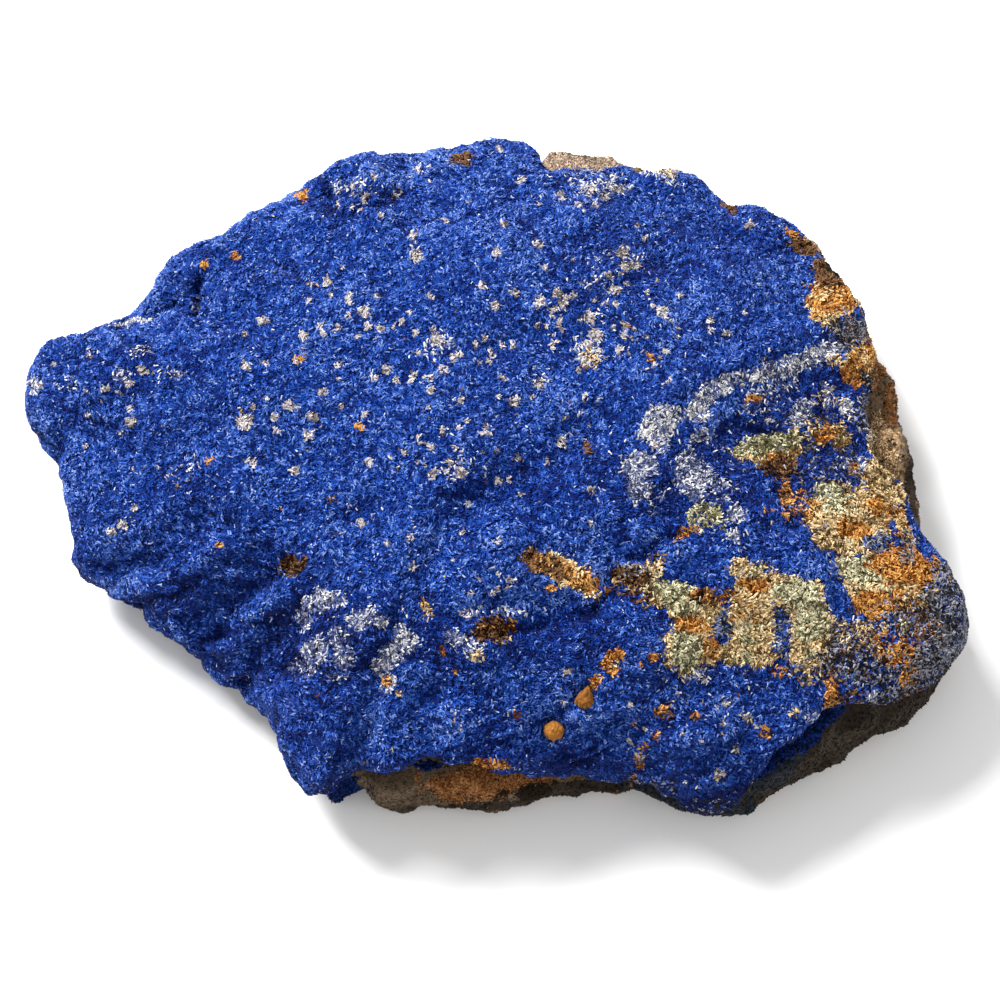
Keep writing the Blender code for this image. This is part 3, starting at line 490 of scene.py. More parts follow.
def stain_cover(points, normals):
    """For each kind of stain, how much of the surface it covers at these points, from 0 to 1."""
    across, down, uneven = warped(points)
    facing = towards_camera(normals)
    seen, unseen = ramp(facing, *CRUST_SEEN), 1.0 - ramp(facing, *CRUST_UNSEEN)
    cover = {kind: patch_cover(across, down, patches, uneven) * seen for kind, patches in STAINS.items()}
    blue = np.zeros(len(points))
    for x, y, half_width, half_height in BARE_BLUE:
        reach = np.hypot((across - x) / half_width, (down - y) / half_height)
        blue = np.maximum(blue, 1.0 - ramp(reach, *BLUE_EDGE))
    for kind in ("cream", "green", "ochre", "brown", "pale"):
        cover[kind] *= 1.0 - BLUE_SHARE * blue
    for kind, spacing, seed, most in CRUST_BLOTCHES:
        blotch = ramp(fractal(points, spacing, seed, 4, 0.6), *CRUST_BLOTCH)
        cover[kind] = np.maximum(cover[kind], most * blotch * unseen)
    return cover


def rock_cover(points, normals):
    """For each kind of rock stain, how much of the bare rock it covers at these points, from 0 to 1."""
    across, down, uneven = warped(points)
    facing = towards_camera(normals)
    seen, unseen = ramp(facing, *ROCK_SEEN), 1.0 - ramp(facing, *ROCK_UNSEEN)
    cover = {kind: patch_cover(across, down, patches, uneven) * seen for kind, patches in ROCK_STAINS.items()}
    for kind, spacing, seed in ROCK_BLOTCHES:
        blotch = ramp(fractal(points, spacing, seed, 4, 0.6), *ROCK_BLOTCH)
        cover[kind] = np.maximum(cover[kind], blotch * unseen)
    return cover


def all_specks():
    """The chalky specks, with the sprinkled ones."""
    rng = np.random.default_rng(SEEDS["specks"])
    found = list(SPECKS)
    for x, y, half_width, half_height, many in SPRINKLED:
        across = x + 0.6 * half_width * rng.normal(size=many)
        down = y + 0.6 * half_height * rng.normal(size=many)
        found += zip(across, down, rng.uniform(*SPRINKLED_RADIUS, many))
    return found


def speck_cover(points, normals):
    """How much of the surface chalky specks cover at these points, from 0 to 1."""
    across, down = in_picture(points)
    across = across + SPECK_SWAY * fractal(points, 0.6, 41, 2)
    down = down + SPECK_SWAY * fractal(points, 0.6, 43, 2)
    total = np.zeros(len(points))
    for x, y, radius in all_specks():
        reach = np.hypot(across - x, down - y) / radius
        total = np.maximum(total, 1.0 - ramp(reach, *SPECK_EDGE))
    return total * ramp(towards_camera(normals), *CRUST_SEEN)


# ---------------------------------------------------------------- relief

# Lumps of the crust: size in millimetres, seed and height. The wrinkles are drawn out along one direction, at
# this turn and by this factor
WRINKLES, BUMPS = ((3.3, 71, 1.15), (1.7, 73, 0.62)), (0.9, 75, 0.42)
WRINKLE_TURN, WRINKLE_STRETCH = math.radians(32.0), 1.7

# Shares of that height: in smooth places, added by craggy ones, and on the unseen sides
SMOOTH_SHARE, CRAGGY_SHARE, UNSEEN_SHARE = 0.34, 0.75, 0.75

# Heights of the broken rock's chips, grains and dents, in millimetres
CHIP_HEIGHT, GRAIN_HEIGHT, DENT_HEIGHT = 0.25, 0.12, 0.12


def near_path(across, down, path):
    """Distance in the picture from each place to the nearest part of a path."""
    nearest = np.full(len(across), 1e9)
    for (x, y), (next_x, next_y) in zip(path, path[1:]):
        run, fall = next_x - x, next_y - y
        share = np.clip(((across - x) * run + (down - y) * fall) / (run ** 2 + fall ** 2), 0.0, 1.0)
        nearest = np.minimum(nearest, np.hypot(across - x - share * run, down - y - share * fall))
    return nearest


def lumps(points, spacing, seed, height):
    """Rounded lumps that meet in narrow valleys."""
    return (np.abs(waves(points, spacing, seed)) - 0.3) * height


def crust_relief(points, normals):
    """How far the crust stands out or in at these points, in millimetres: wrinkles, bumps and creases."""
    across, down, _ = warped(points)
    seen = ramp(towards_camera(normals), -0.1, 0.2)
    crags = [(*patch[:4], 0, patch[4]) for patch in CRAGGY]
    craggy = SMOOTH_SHARE + CRAGGY_SHARE * patch_cover(across, down, crags, 0.0) * seen
    craggy = np.maximum(craggy, UNSEEN_SHARE * (1.0 - seen))
    bent = points + 0.8 * wave_vectors(points, 2.6, (61, 63, 65))
    cosine, sine = math.cos(WRINKLE_TURN), math.sin(WRINKLE_TURN)
    drawn = np.stack([(bent[:, 0] * cosine + bent[:, 1] * sine) / WRINKLE_STRETCH,
                      bent[:, 1] * cosine - bent[:, 0] * sine, bent[:, 2]], axis=1)
    height = sum(lumps(drawn, *wrinkle) for wrinkle in WRINKLES) + lumps(bent, *BUMPS)
    depth = np.zeros(len(points))
    for path, deep, half_width in CREASES:
        apart = near_path(across, down, path)
        depth = np.maximum(depth, deep * np.exp(-(apart / half_width) ** 2))
    return craggy * height - depth * seen


def rock_relief(points):
    """How far broken rock stands out or in at these points, in millimetres: chips, grains and dents."""
    chips = knobs(points * (1.0, 1.0, 1.8), 1.7, 131)
    grains = knobs(points, 0.55, 141)
    return (CHIP_HEIGHT * (0.3 - ramp(chips, 0.1, 0.8)) + GRAIN_HEIGHT * (0.3 - ramp(grains, 0.0, 0.8))
            + DENT_HEIGHT * fractal(points, 1.2, 151, 3))


def nodule_form(unit, taper, uneven, seed):
    """The places of a unit ball, dented and grained, which fill a box of the ball's own size.

    The taper draws its far end in, and to the right.
    """
    dents, grains = knobs(unit, 0.5, seed), knobs(unit, 0.22, seed + 3)
    rise = (1.0 + uneven * (0.6 * fractal(unit, 0.9, seed, 3) - 0.45 * ramp(dents, 0.0, 0.8))
            - 0.06 * ramp(grains, 0.1, 0.7) + 0.03 * fractal(unit, 0.12, seed + 7, 2))
    places = unit * rise[:, None]
    far = taper * ramp(places[:, 1], -0.3, 1.1)
    places[:, 0] = places[:, 0] * (1.0 - far) + 0.6 * far
    return places / np.abs(places).max(axis=0)


# ---------------------------------------------------------------- meshes

# Distances from the rock, in millimetres: where the crust's relief sets in and is full, and beyond which its
# faces show and carry crystals
RELIEF_DEPTH = (0.5, 1.1)
SHOWN_DEPTH, CRYSTAL_DEPTH = 0.45, 0.42

# Distances from the crust, in millimetres: where the rock's relief sets in and is full, and beyond which it
# carries sand grains
ROCK_DEPTH, SAND_DEPTH = (0.35, 0.7), 0.4

# Shares of the hidden faces that are saved, and the height under which the rock rests, in millimetres
CRUST_SAVED, ROCK_SAVED = 0.85, 0.88
RESTING_HEIGHT = 0.4


def numbers(items, name, width, kind=np.float32):
    """One attribute of many mesh items as an array."""
    found = np.empty(len(items) * width, kind)
    items.foreach_get(name, found)
    return found.reshape(-1, width) if width > 1 else found


def places_of(mesh):
    return numbers(mesh.vertices, "co", 3).astype(float) / MM


def triangles_of(mesh):
    mesh.calc_loop_triangles()
    return numbers(mesh.loop_triangles, "vertices", 3, np.int32)


def normals_of(mesh):
    return numbers(mesh.vertex_normals, "vector", 3).astype(float)


def move_to(mesh, places):
    """Moves a mesh's vertices to new places."""
    mesh.vertices.foreach_set("co", (places * MM).astype(np.float32).ravel())
    mesh.update()


def primitive(name, create, **sizes):
    """A new mesh, made by one of bmesh's primitives."""
    form = bmesh.new()
    create(form, **sizes)
    mesh = bpy.data.meshes.new(name)
    form.to_mesh(mesh)
    form.free()
    return mesh


def evaluated(mesh, name, modifier_type, settings, weights=None):
    """A new mesh: this one with a modifier applied. Weights are one number for each vertex."""
    draft = bpy.data.objects.new(name, mesh)
    bpy.context.scene.collection.objects.link(draft)
    if weights is not None:
        group = draft.vertex_groups.new(name="weight")
        for level in np.unique(weights):
            group.add(np.flatnonzero(weights == level).tolist(), float(level), "REPLACE")
    modifier = draft.modifiers.new(modifier_type, modifier_type)
    for key, value in settings.items():
        setattr(modifier, key, value)
    graph = bpy.context.evaluated_depsgraph_get()
    result = bpy.data.meshes.new_from_object(draft.evaluated_get(graph))
    bpy.data.objects.remove(draft)
    result.name = name
    return result


def welded(solid):
    """A copy of a frame solid's mesh, with its split corners joined."""
    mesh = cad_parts[solid].data.copy()
    form = bmesh.new()
    form.from_mesh(mesh)
    bmesh.ops.remove_doubles(form, verts=form.verts, dist=WELD * MM)
    bmesh.ops.recalc_face_normals(form, faces=form.faces)
    form.to_mesh(mesh)
    form.free()
    return mesh


def remeshed(solid, size):
    """A frame solid's mesh, made again with vertices this far apart, in metres."""
    return evaluated(welded(solid), solid + "_draft", "REMESH", {"mode": "VOXEL", "voxel_size": size})


def thinned(mesh, name, hidden, share):
    """The mesh with this share of its hidden faces saved. Hidden says so of each vertex."""
    return evaluated(mesh, name, "DECIMATE", {
        "ratio": 1.0 - share * hidden.mean(), "vertex_group": "weight", "use_collapse_triangulate": True},
        hidden.astype(float))


def smoothed(mesh, rounds, shrink=0.5, swell=-0.52):
    """A mesh's places with its facets smoothed away.

    Each round pulls in and then lets out, so the form keeps its size.
    """
    places = places_of(mesh)
    edges = numbers(mesh.edges, "vertices", 2, np.int32)
    count = np.bincount(edges.ravel(), minlength=len(places))[:, None].clip(1)
    for step in range(2 * rounds):
        total = np.stack([
            np.bincount(edges[:, 0], places[edges[:, 1], axis], len(places))
            + np.bincount(edges[:, 1], places[edges[:, 0], axis], len(places)) for axis in range(3)], axis=1)
        places = places + (swell if step % 2 else shrink) * (total / count - places)
    return places


def distance_to(solid, points):
    """How far each point is from a frame solid, in millimetres."""
    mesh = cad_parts[solid].data
    tree = BVHTree.FromPolygons(places_of(mesh).tolist(), triangles_of(mesh).tolist())
    return np.array([tree.find_nearest(point)[3] for point in points.tolist()])


def add_number(mesh, name, values):
    """Stores one number for each vertex, which a material can read by name."""
    mesh.attributes.new(name, "FLOAT", "POINT").data.foreach_set("value", np.asarray(values, np.float32))


def add_piece(name, mesh, material, nodes=(), smooth=False):
    """Puts a finished piece in the scene: it rides on the root body and stands for the nodes it names."""
    mesh.name = name
    mesh.materials.clear()
    mesh.materials.append(material)
    mesh.polygons.foreach_set("use_smooth", np.full(len(mesh.polygons), smooth))
    piece = bpy.data.objects.new(name, mesh)
    bpy.context.scene.collection.objects.link(piece)
    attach(piece, BODY)
    if nodes:
        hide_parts(*nodes)


def drawn_in(places, share=0.3, reach=1.2):
    """The places, drawn in a little near the top and sides of the frame's box, to leave room for crystals."""
    places = places - share * np.clip(places - (HIGHEST - reach), 0.0, None)
    return places + share * np.clip(LOWEST + reach - places, 0.0, None) * (1.0, 1.0, 0.0)


def kept_inside(places):
    """The places, brought back inside the frame's box."""
    return np.clip(places, LOWEST + CLEARANCE, HIGHEST - CLEARANCE)


# ---------------------------------------------------------------- crystals and grains

# One crystal and one sand grain, as shares of length, width and height, and their faces. A crystal is a thin
# plate creased from corner to corner, and a grain is a blunt roof with closed ends
CRYSTAL = (((-0.42, -0.5, -0.6), (-0.36, 0.45, 0.4), (0.58, 0.4, -0.5), (0.64, -0.3, 0.4)),
           ((0, 3, 1), (1, 3, 2)))
GRAIN = (((-0.4, 0.0, 0.35), (0.6, 0.0, 0.35), (0.0, 0.5, -0.65), (0.0, -0.5, -0.65)),
         ((0, 2, 1), (0, 1, 3), (0, 3, 2), (1, 2, 3)))

# Height of a crystal or grain, as a share of its width
HEIGHT_SHARE = 0.55

# How far a crystal stands proud of the crust, in millimetres: on the whole, by its tuft and by itself. Stain
# grains stand further out by the lift, and are wider by this factor
PROUD, TUFT_RISE, OWN_RISE = 0.09, 0.19, 0.03
STAIN_LIFT, STAIN_WIDTH = 0.03, 1.15

# On steep sides crystals lie flatter and are shorter, by these shares
STEEP_FLATTER, STEEP_SHORTER = 0.6, 0.25

# How much lighter a crystal is by its height on a lump and by its tuft, as painted light on tops and painted
# shade in creases and between tufts; by a slow drift of its own tone; and how much darker on faces turned
# downward, as painted shade beneath; all as shares of the range of tones. Then the share of blue crystals
# that are painted highlights, and their tones
LUMP_PAINTED_LIGHT, TUFT_PAINTED_LIGHT, DRIFT_LIGHT, UNDERSIDE_PAINTED_SHADE = 0.36, 0.32, 0.1, 0.2
PAINTED_GLINTS, PAINTED_GLINT_TONES = 0.018, (0.84, 1.0)

# How far sand grains and loose crumbs stand proud of the rock, in millimetres
SAND_PROUD, CRUMB_PROUD = -0.02, 0.09


def how_many(count):
    """The count, as it is."""
    return count // 1


def strewn(mesh, count, allowed, rng):
    """Random spots on the faces of a mesh whose vertices are all allowed: places and normals."""
    places, normals, faces = places_of(mesh), normals_of(mesh), triangles_of(mesh)
    faces = faces[allowed[faces].all(axis=1)]
    corners = places[faces]
    sides = corners[:, 1] - corners[:, 0], corners[:, 2] - corners[:, 0]
    area = np.linalg.norm(np.cross(*sides), axis=1) / 2
    picked = np.searchsorted(np.cumsum(area) / area.sum(), rng.random(count)).clip(0, len(faces) - 1)
    first, second = np.sqrt(rng.random(count)), rng.random(count)
    share = np.stack([1 - first, first * (1 - second), first * second], axis=1)[:, :, None]
    normal = (normals[faces[picked]] * share).sum(axis=1)
    return (corners[picked] * share).sum(axis=1), normal / np.linalg.norm(normal, axis=1, keepdims=True)


def tangents(places, normals, rng, spread):
    """A direction along the surface at each place. Neighbours lean alike, as in a tuft, but for a spread."""
    lean = wave_vectors(places, 1.1, (51, 53, 55))
    lean += spread * rng.normal(size=lean.shape)
    along = lean - normals * (lean * normals).sum(axis=1, keepdims=True)
    return along / np.linalg.norm(along, axis=1, keepdims=True).clip(1e-9)


def bake_cells(mesh, tone, corners):
    """A map with a cell for each crystal, sorted by tone, so that a baked colour stays with its crystal."""
    cells = math.ceil(math.sqrt(len(tone)))
    rank = np.empty(len(tone), int)
    rank[np.argsort(tone, kind="stable")] = np.arange(len(tone))
    origin = np.stack([rank % cells, rank // cells], axis=1).astype(float)
    turns = [math.tau * corner / corners for corner in range(corners)]
    around = np.array([(0.5 + 0.3 * math.cos(turn), 0.5 + 0.3 * math.sin(turn)) for turn in turns])
    spots = ((origin[:, None, :] + around[None]) / cells).reshape(-1, 2)
    vertex = numbers(mesh.loops, "vertex_index", 1, np.int32)
    mesh.uv_layers.new(name="OFBake").uv.foreach_set("vector", spots[vertex].astype(np.float32).ravel())


def strewn_mesh(name, form, places, normals, along, length, width, tilt, tone):
    """Many crystals or grains as one mesh, their feet in the surface that carries them."""
    spots, triples = form
    side = np.cross(normals, along)
    cosine, sine = np.cos(tilt)[:, None], np.sin(tilt)[:, None]
    axes = np.stack([along * cosine + normals * sine, side, normals * cosine - along * sine], axis=1)
    size = np.stack([length, width, HEIGHT_SHARE * width], axis=1)
    corners = places[:, None] + np.einsum("nkc,ncx->nkx", np.array(spots)[None] * size[:, None], axes)
    faces = np.arange(len(places))[:, None, None] * len(spots) + np.array(triples)
    mesh = bpy.data.meshes.new(name)
    mesh.from_pydata(kept_inside(corners.reshape(-1, 3)) * MM, [], faces.reshape(-1, 3))
    add_number(mesh, "tone", np.repeat(tone, len(spots)))
    bake_cells(mesh, tone, len(spots))
    return mesh


def crystal_kinds(places, normals, rng):
    """What each crystal is: blue, one of the kinds of stain, or chalk."""
    cover, speck = stain_cover(places, normals), speck_cover(places, normals)
    kinds = np.full(len(places), "blue", dtype=object)
    for index, (kind, loose) in enumerate(LOOSENESS.items()):
        chance = (1.0 - loose) * (0.5 + 0.9 * fractal(places, 0.9, 105 + 3 * index, 3, 0.7))
        kinds[cover[kind] > chance + loose * rng.random(len(places))] = kind
    kinds[speck > 0.42 + 0.4 * rng.random(len(places))] = "chalk"
    return kinds


def crystal_tones(places, normals, clump, own, rng):
    """How light each crystal is, from 0 to 1, if it is blue and if it is a stain's.

    It is lighter on the tops of lumps and tufts and darker in creases and beneath, as painted light and
    shade, and darker still in the patches of painted shade. A slow drift of its own tone varies it too. A few
    are painted highlights.
    """
    many = len(places)
    # The height of the relief, which lends painted light to the tops of lumps and painted shade to creases
    lift = np.clip(crust_relief(places, normals), -0.8, 0.6)
    # Faces that turn downward, which get painted shade
    under = 1.0 - ramp(normals[:, 2], -0.2, 0.35)
    # Patches of painted shade, and painted light where their amount is negative
    painted_shade = patch_cover(*in_picture(places), PAINTED_SHADE_PATCHES, 0.0)
    drift = fractal(places, 7.0, 111, 2)
    level = LUMP_PAINTED_LIGHT * lift + TUFT_PAINTED_LIGHT * clump + DRIFT_LIGHT * drift - UNDERSIDE_PAINTED_SHADE * under - painted_shade
    blue = np.clip(0.5 + level + 0.13 * own + 0.17 * rng.normal(size=many), 0.0, 0.9)
    stained = np.clip(0.53 + level + 0.22 * own + 0.27 * rng.normal(size=many), 0.0, 1.0)
    # A few crystals become painted highlights: near-white glints
    painted_glints = rng.random(many) < PAINTED_GLINTS * (1.0 + 1.5 * fractal(places, 3.0, 121, 2))
    return np.where(painted_glints, rng.uniform(*PAINTED_GLINT_TONES, many), blue), stained


# ---------------------------------------------------------------- shader nodes and groups


def opaque(colour):
    """A colour of three channels with a full fourth, or a socket as it is."""
    return colour if isinstance(colour, bpy.types.NodeSocket) else (*colour[:3], 1.0)


def feed(tree, socket, value):
    """Links a socket to an input, or sets the input to a plain value."""
    if isinstance(value, bpy.types.NodeSocket):
        tree.links.new(value, socket)
    else:
        socket.default_value = value


def node(tree, kind, inputs=None, **settings):
    """Adds a node. Inputs are plain values, or sockets to link."""
    made = tree.nodes.new(kind)
    for key, value in settings.items():
        setattr(made, key, value)
    for key, value in (inputs or {}).items():
        feed(tree, made.inputs[key], value)
    return made


def mixed(tree, share, first, second):
    """The colour that comes of two colours, mixed by a share."""
    made = node(tree, "ShaderNodeMix", data_type="RGBA")
    for key, value in ((0, share), (6, opaque(first)), (7, opaque(second))):
        feed(tree, made.inputs[key], value)
    return made.outputs[2]


def maths(tree, operation, *values):
    """The result of one operation on numbers or sockets."""
    return node(tree, "ShaderNodeMath", dict(enumerate(values)), operation=operation).outputs[0]


def colour_ramp(tree, share, stops):
    """A colour that follows a share through several stops of (place, colour)."""
    made = node(tree, "ShaderNodeValToRGB", {0: share})
    elements = made.color_ramp.elements
    while len(elements) < len(stops):
        elements.new(0.5)
    for element, (place, colour) in zip(elements, stops):
        element.position, element.color = place, opaque(colour)
    return made.outputs[0]


def new_group(name, inputs, outputs):
    """A shader node group with named sockets, and its input and output nodes."""
    tree = bpy.data.node_groups.new(name, "ShaderNodeTree")
    for title, kind, default in inputs:
        socket = tree.interface.new_socket(name=title, in_out="INPUT", socket_type=kind)
        if default is not None:
            socket.default_value = default
    for title, kind in outputs:
        tree.interface.new_socket(name=title, in_out="OUTPUT", socket_type=kind)
    return tree, tree.nodes.new("NodeGroupInput").outputs, tree.nodes.new("NodeGroupOutput")


def placed(tree, group, **values):
    """Places a shader group in a material, with its own values, and gives its outputs."""
    made = node(tree, "ShaderNodeGroup", node_tree=bpy.data.node_groups[group])
    for key, value in values.items():
        feed(tree, made.inputs[key.replace("_", " ")], value)
    return made.outputs


def build_mineral_grain():
    """Granular unevenness: a tone, a slow drift, pits and a height. The sizes are in millimetres."""
    tree, given, result = new_group("mineral_grain", (
        ("Position", "NodeSocketVector", None), ("Grain Size", "NodeSocketFloat", 0.3),
        ("Drift Size", "NodeSocketFloat", 4.0)),
        (("Tone", "NodeSocketFloat"), ("Drift", "NodeSocketFloat"), ("Pits", "NodeSocketFloat"),
         ("Height", "NodeSocketFloat")))
    per_grain = maths(tree, "DIVIDE", 1.0 / MM, given["Grain Size"])
    per_drift = maths(tree, "DIVIDE", 1.0 / MM, given["Drift Size"])
    fine = node(tree, "ShaderNodeTexNoise", {
        "Vector": given["Position"], "Scale": per_grain, "Detail": 3.0, "Roughness": 0.6}).outputs[0]
    cells = node(tree, "ShaderNodeTexVoronoi", {"Vector": given["Position"], "Scale": per_grain})
    drift = node(tree, "ShaderNodeTexNoise", {
        "Vector": given["Position"], "Scale": per_drift, "Detail": 4.0, "Roughness": 0.6}).outputs[0]
    tone = maths(tree, "ADD", maths(tree, "MULTIPLY", fine, 0.6), maths(tree, "MULTIPLY", drift, 0.4))
    for title, source, start, end in (("Tone", tone, 0.34, 0.66), ("Drift", drift, 0.35, 0.65),
                                      ("Pits", fine, 0.42, 0.3)):
        spread = node(tree, "ShaderNodeMapRange", {"Value": source, "From Min": start, "From Max": end})
        feed(tree, result.inputs[title], spread.outputs[0])
    height = maths(tree, "SUBTRACT", fine, maths(tree, "MULTIPLY", cells.outputs["Distance"], 0.5))
    feed(tree, result.inputs["Height"], height)


def build_stain():
    """Lays a stain over a colour: granular at its edge, and uneven in its own colour."""
    tree, given, result = new_group("stain", (
        ("Base", "NodeSocketColor", (0.1, 0.1, 0.1, 1.0)), ("Light", "NodeSocketColor", (0.6, 0.5, 0.4, 1.0)),
        ("Deep", "NodeSocketColor", (0.3, 0.2, 0.1, 1.0)), ("Cover", "NodeSocketFloat", 0.0),
        ("Tone", "NodeSocketFloat", 0.5), ("Break", "NodeSocketFloat", 0.5)), (("Color", "NodeSocketColor"),))
    broken = maths(tree, "MULTIPLY", given["Break"], maths(tree, "SUBTRACT", 1.0, given["Cover"]))
    edge = maths(tree, "SUBTRACT", given["Cover"], broken)
    mask = node(tree, "ShaderNodeMapRange", {"Value": edge, "From Min": 0.0, "From Max": 0.3}).outputs[0]
    own = mixed(tree, given["Tone"], given["Deep"], given["Light"])
    feed(tree, result.inputs["Color"], mixed(tree, mask, given["Base"], own))


# ---------------------------------------------------------------- materials

# How far the rock's beds swing up and down, in metres, and how many there are to a metre
BED_BEND, BEDS_PER_METRE = 0.004, 1100.0


def new_material(name):
    """An empty material: its tree, its Principled node and the piece's own position in metres."""
    material = bpy.data.materials.new(name)
    material.use_nodes = True
    tree = material.node_tree
    position = tree.nodes.new("ShaderNodeTexCoord").outputs["Object"]
    return material, tree, tree.nodes["Principled BSDF"], position


def attribute(tree, name):
    return node(tree, "ShaderNodeAttribute", attribute_name=name, attribute_type="GEOMETRY").outputs["Fac"]


def set_finish(tree, shader, colour, tone, roughness, specular):
    """Gives a material its colour, its gloss, and a roughness that follows a tone between two values."""
    low, high = roughness
    rough = node(tree, "ShaderNodeMapRange", {"Value": tone, "To Min": low, "To Max": high})
    feed(tree, shader.inputs["Base Color"], colour)
    feed(tree, shader.inputs["Roughness"], rough.outputs[0])
    feed(tree, shader.inputs["Specular IOR Level"], specular)


def set_bump(tree, shader, height, strength, distance):
    """Gives a material fine relief. The distance is in millimetres."""
    bump = node(tree, "ShaderNodeBump", {"Height": height, "Strength": strength, "Distance": distance * MM})
    feed(tree, shader.inputs["Normal"], bump.outputs[0])


def set_growth_lines(tree, shader, position):
    """Gives the faces of single crystals and grains fine growth lines and chips."""
    fine = node(tree, "ShaderNodeTexNoise", {"Vector": position, "Scale": 16000.0, "Detail": 1.0})
    set_bump(tree, shader, fine.outputs[0], 0.5, 0.02)


def shade(colour, factor):
    return tuple(channel * factor for channel in colour[:3])


def steeped(colour, share):
    """A deeper and richer version of a colour, for the low tones of grains; it stands partly for painted
    shade in the gaps between grains.
    """
    return tuple(share * channel ** 1.8 for channel in colour[:3])


def stain_colours(look):
    """Deep and light colour of each kind of stain."""
    return {
        "pale": (BLEACHED_GAPS, look.pale),
        "cream": (steeped(look.cream, 0.32), look.cream),
        "green": (steeped(look.green, 0.3), look.green),
        "ochre": (steeped(look.ochre, 0.45), look.ochre),
        "brown": (steeped(look.brown, 0.45), look.brown),
        "slate": (shade(look.slate, 0.09), look.slate),
    }


def rock_colours(look):
    """Deep and light colour of each kind of rock stain."""
    return {
        "grey": (shade(look.sandstone_grey, 0.6), look.sandstone_grey),
        "iron": (steeped(look.rust, 0.9), look.rust),
        "tan": (shade(look.tan, 0.35), look.tan),
        "bleached": (shade(look.bleached, 0.4), look.bleached),
        "sandy": (steeped(look.sandy, 0.35), look.sandy),
        "dark": (shade(look.sandstone_dark, 0.45), look.sandstone_dark),
        "navy": (NAVY_DEEP, NAVY_LIGHT),
        "film": (shade(look.azurite_deep, 0.25), shade(look.azurite_mid, 0.7)),
    }


def stained(tree, colour, grain, colours):
    """A colour with stains laid over it. Colours are the deep and light one of each kind."""
    for kind, (deep, light) in colours.items():
        colour = placed(tree, "stain", Base=colour, Light=opaque(light), Deep=opaque(deep),
                        Cover=attribute(tree, kind), Tone=grain["Tone"], Break=grain["Drift"])["Color"]
    return colour


def azurite_skin(look):
    """The crust under its crystals: navy, granular, with the stains that lie on it; kept dark as painted
    shade in the gaps between the crystals.
    """
    material, tree, shader, position = new_material("azurite_skin")
    grain = placed(tree, "mineral_grain", Position=position, Grain_Size=0.15, Drift_Size=5.0)
    colour = colour_ramp(tree, grain["Tone"], (
        (0.0, shade(look.azurite_deep, 0.35)), (0.5, look.azurite_deep), (0.85, look.azurite_low)))
    # Each stain on the skin is darker than on its grains: painted shade in the gaps between the crystals
    colours = {kind: (shade(deep, 0.35), shade(deep, 0.9)) for kind, (deep, _) in stain_colours(look).items()}
    colour = stained(tree, colour, grain, colours)
    set_finish(tree, shader, colour, grain["Tone"], (0.95, 0.75), 0.1)
    set_bump(tree, shader, grain["Height"], 0.7, 0.08)
    return material


def azurite_crystal(look):
    """Single crystals: from navy through royal blue to pale faces, by a tone that carries painted light and
    shade, with painted highlights at the top.
    """
    material, tree, shader, position = new_material("azurite_crystal")
    tone = attribute(tree, "tone")
    colour = colour_ramp(tree, tone, (
        (0.0, shade(look.azurite_deep, 0.5)), (0.22, look.azurite_deep), (0.42, look.azurite_low),
        (0.62, look.azurite_mid), (0.82, look.azurite_bright), (0.92, look.azurite_pale), (1.0, look.painted_glint)))
    set_finish(tree, shader, colour, tone, (0.65, 0.4), 0.12)
    set_growth_lines(tree, shader, position)
    return material


def grain_material(name, deep, light, roughness):
    """Loose mineral grains, from a deep to a light colour by each grain's tone."""
    material, tree, shader, position = new_material(name)
    tone = attribute(tree, "tone")
    colour = colour_ramp(tree, tone, (
        (0.0, shade(deep, 0.4)), (0.35, deep), (0.75, shade(light, 0.8)), (1.0, light)))
    set_finish(tree, shader, colour, tone, (roughness, roughness - 0.2), 0.12)
    set_growth_lines(tree, shader, position)
    return material


def sandstone_material(look):
    """Broken sandstone: brown to grey, bedded, granular, with iron stains."""
    material, tree, shader, position = new_material("sandstone")
    grain = placed(tree, "mineral_grain", Position=position, Grain_Size=0.3, Drift_Size=5.0)
    split = node(tree, "ShaderNodeSeparateXYZ", {"Vector": position})
    bend = node(tree, "ShaderNodeTexNoise", {"Vector": position, "Scale": 90.0, "Detail": 2.0})
    level = maths(tree, "MULTIPLY_ADD", bend.outputs[0], BED_BEND, split.outputs["Z"])
    bed = maths(tree, "MULTIPLY", level, BEDS_PER_METRE)
    beds = node(tree, "ShaderNodeTexNoise", {"W": bed, "Scale": 1.0, "Detail": 2.0}, noise_dimensions="1D")
    colour = mixed(tree, grain["Tone"], look.sandstone_dark, look.sandstone)
    colour = mixed(tree, maths(tree, "MULTIPLY", beds.outputs[0], 0.6), colour, look.sandstone_grey)
    colour = stained(tree, colour, grain, rock_colours(look))
    pits = maths(tree, "MULTIPLY", grain["Pits"], 0.6)
    colour = mixed(tree, pits, colour, shade(look.sandstone_dark, 0.35))
    set_finish(tree, shader, colour, grain["Tone"], (0.95, 0.75), 0.3)
    set_bump(tree, shader, grain["Height"], 0.8, 0.12)
    return material


def limonite_material(look, name, light, deep):
    """Dull earthy limonite: ochre, browner in its pits."""
    material, tree, shader, position = new_material(name)
    grain = placed(tree, "mineral_grain", Position=position, Grain_Size=0.25, Drift_Size=1.2)
    colour = mixed(tree, grain["Tone"], deep, light)
    colour = mixed(tree, maths(tree, "MULTIPLY", grain["Pits"], 0.8), colour, shade(look.brown, 0.8))
    set_finish(tree, shader, colour, grain["Tone"], (0.85, 0.6), 0.2)
    set_bump(tree, shader, grain["Height"], 0.9, 0.08)
    return material


# ---------------------------------------------------------------- settings


def colour_property(name, description, default):
    return FloatVectorProperty(name=name, description=description, default=default, size=3, min=0.0, max=1.0,
                               subtype="COLOR")


def length_property(name, description, default):
    """A length whose default is given in millimetres."""
    return FloatProperty(name=name, description=description, default=default * MM, min=0.0, soft_max=5.0 * MM,
                         precision=5, subtype="DISTANCE", unit="LENGTH")


def power_property(name, description, default):
    return FloatProperty(name=name, description=description, default=default, min=0.0, unit="POWER")


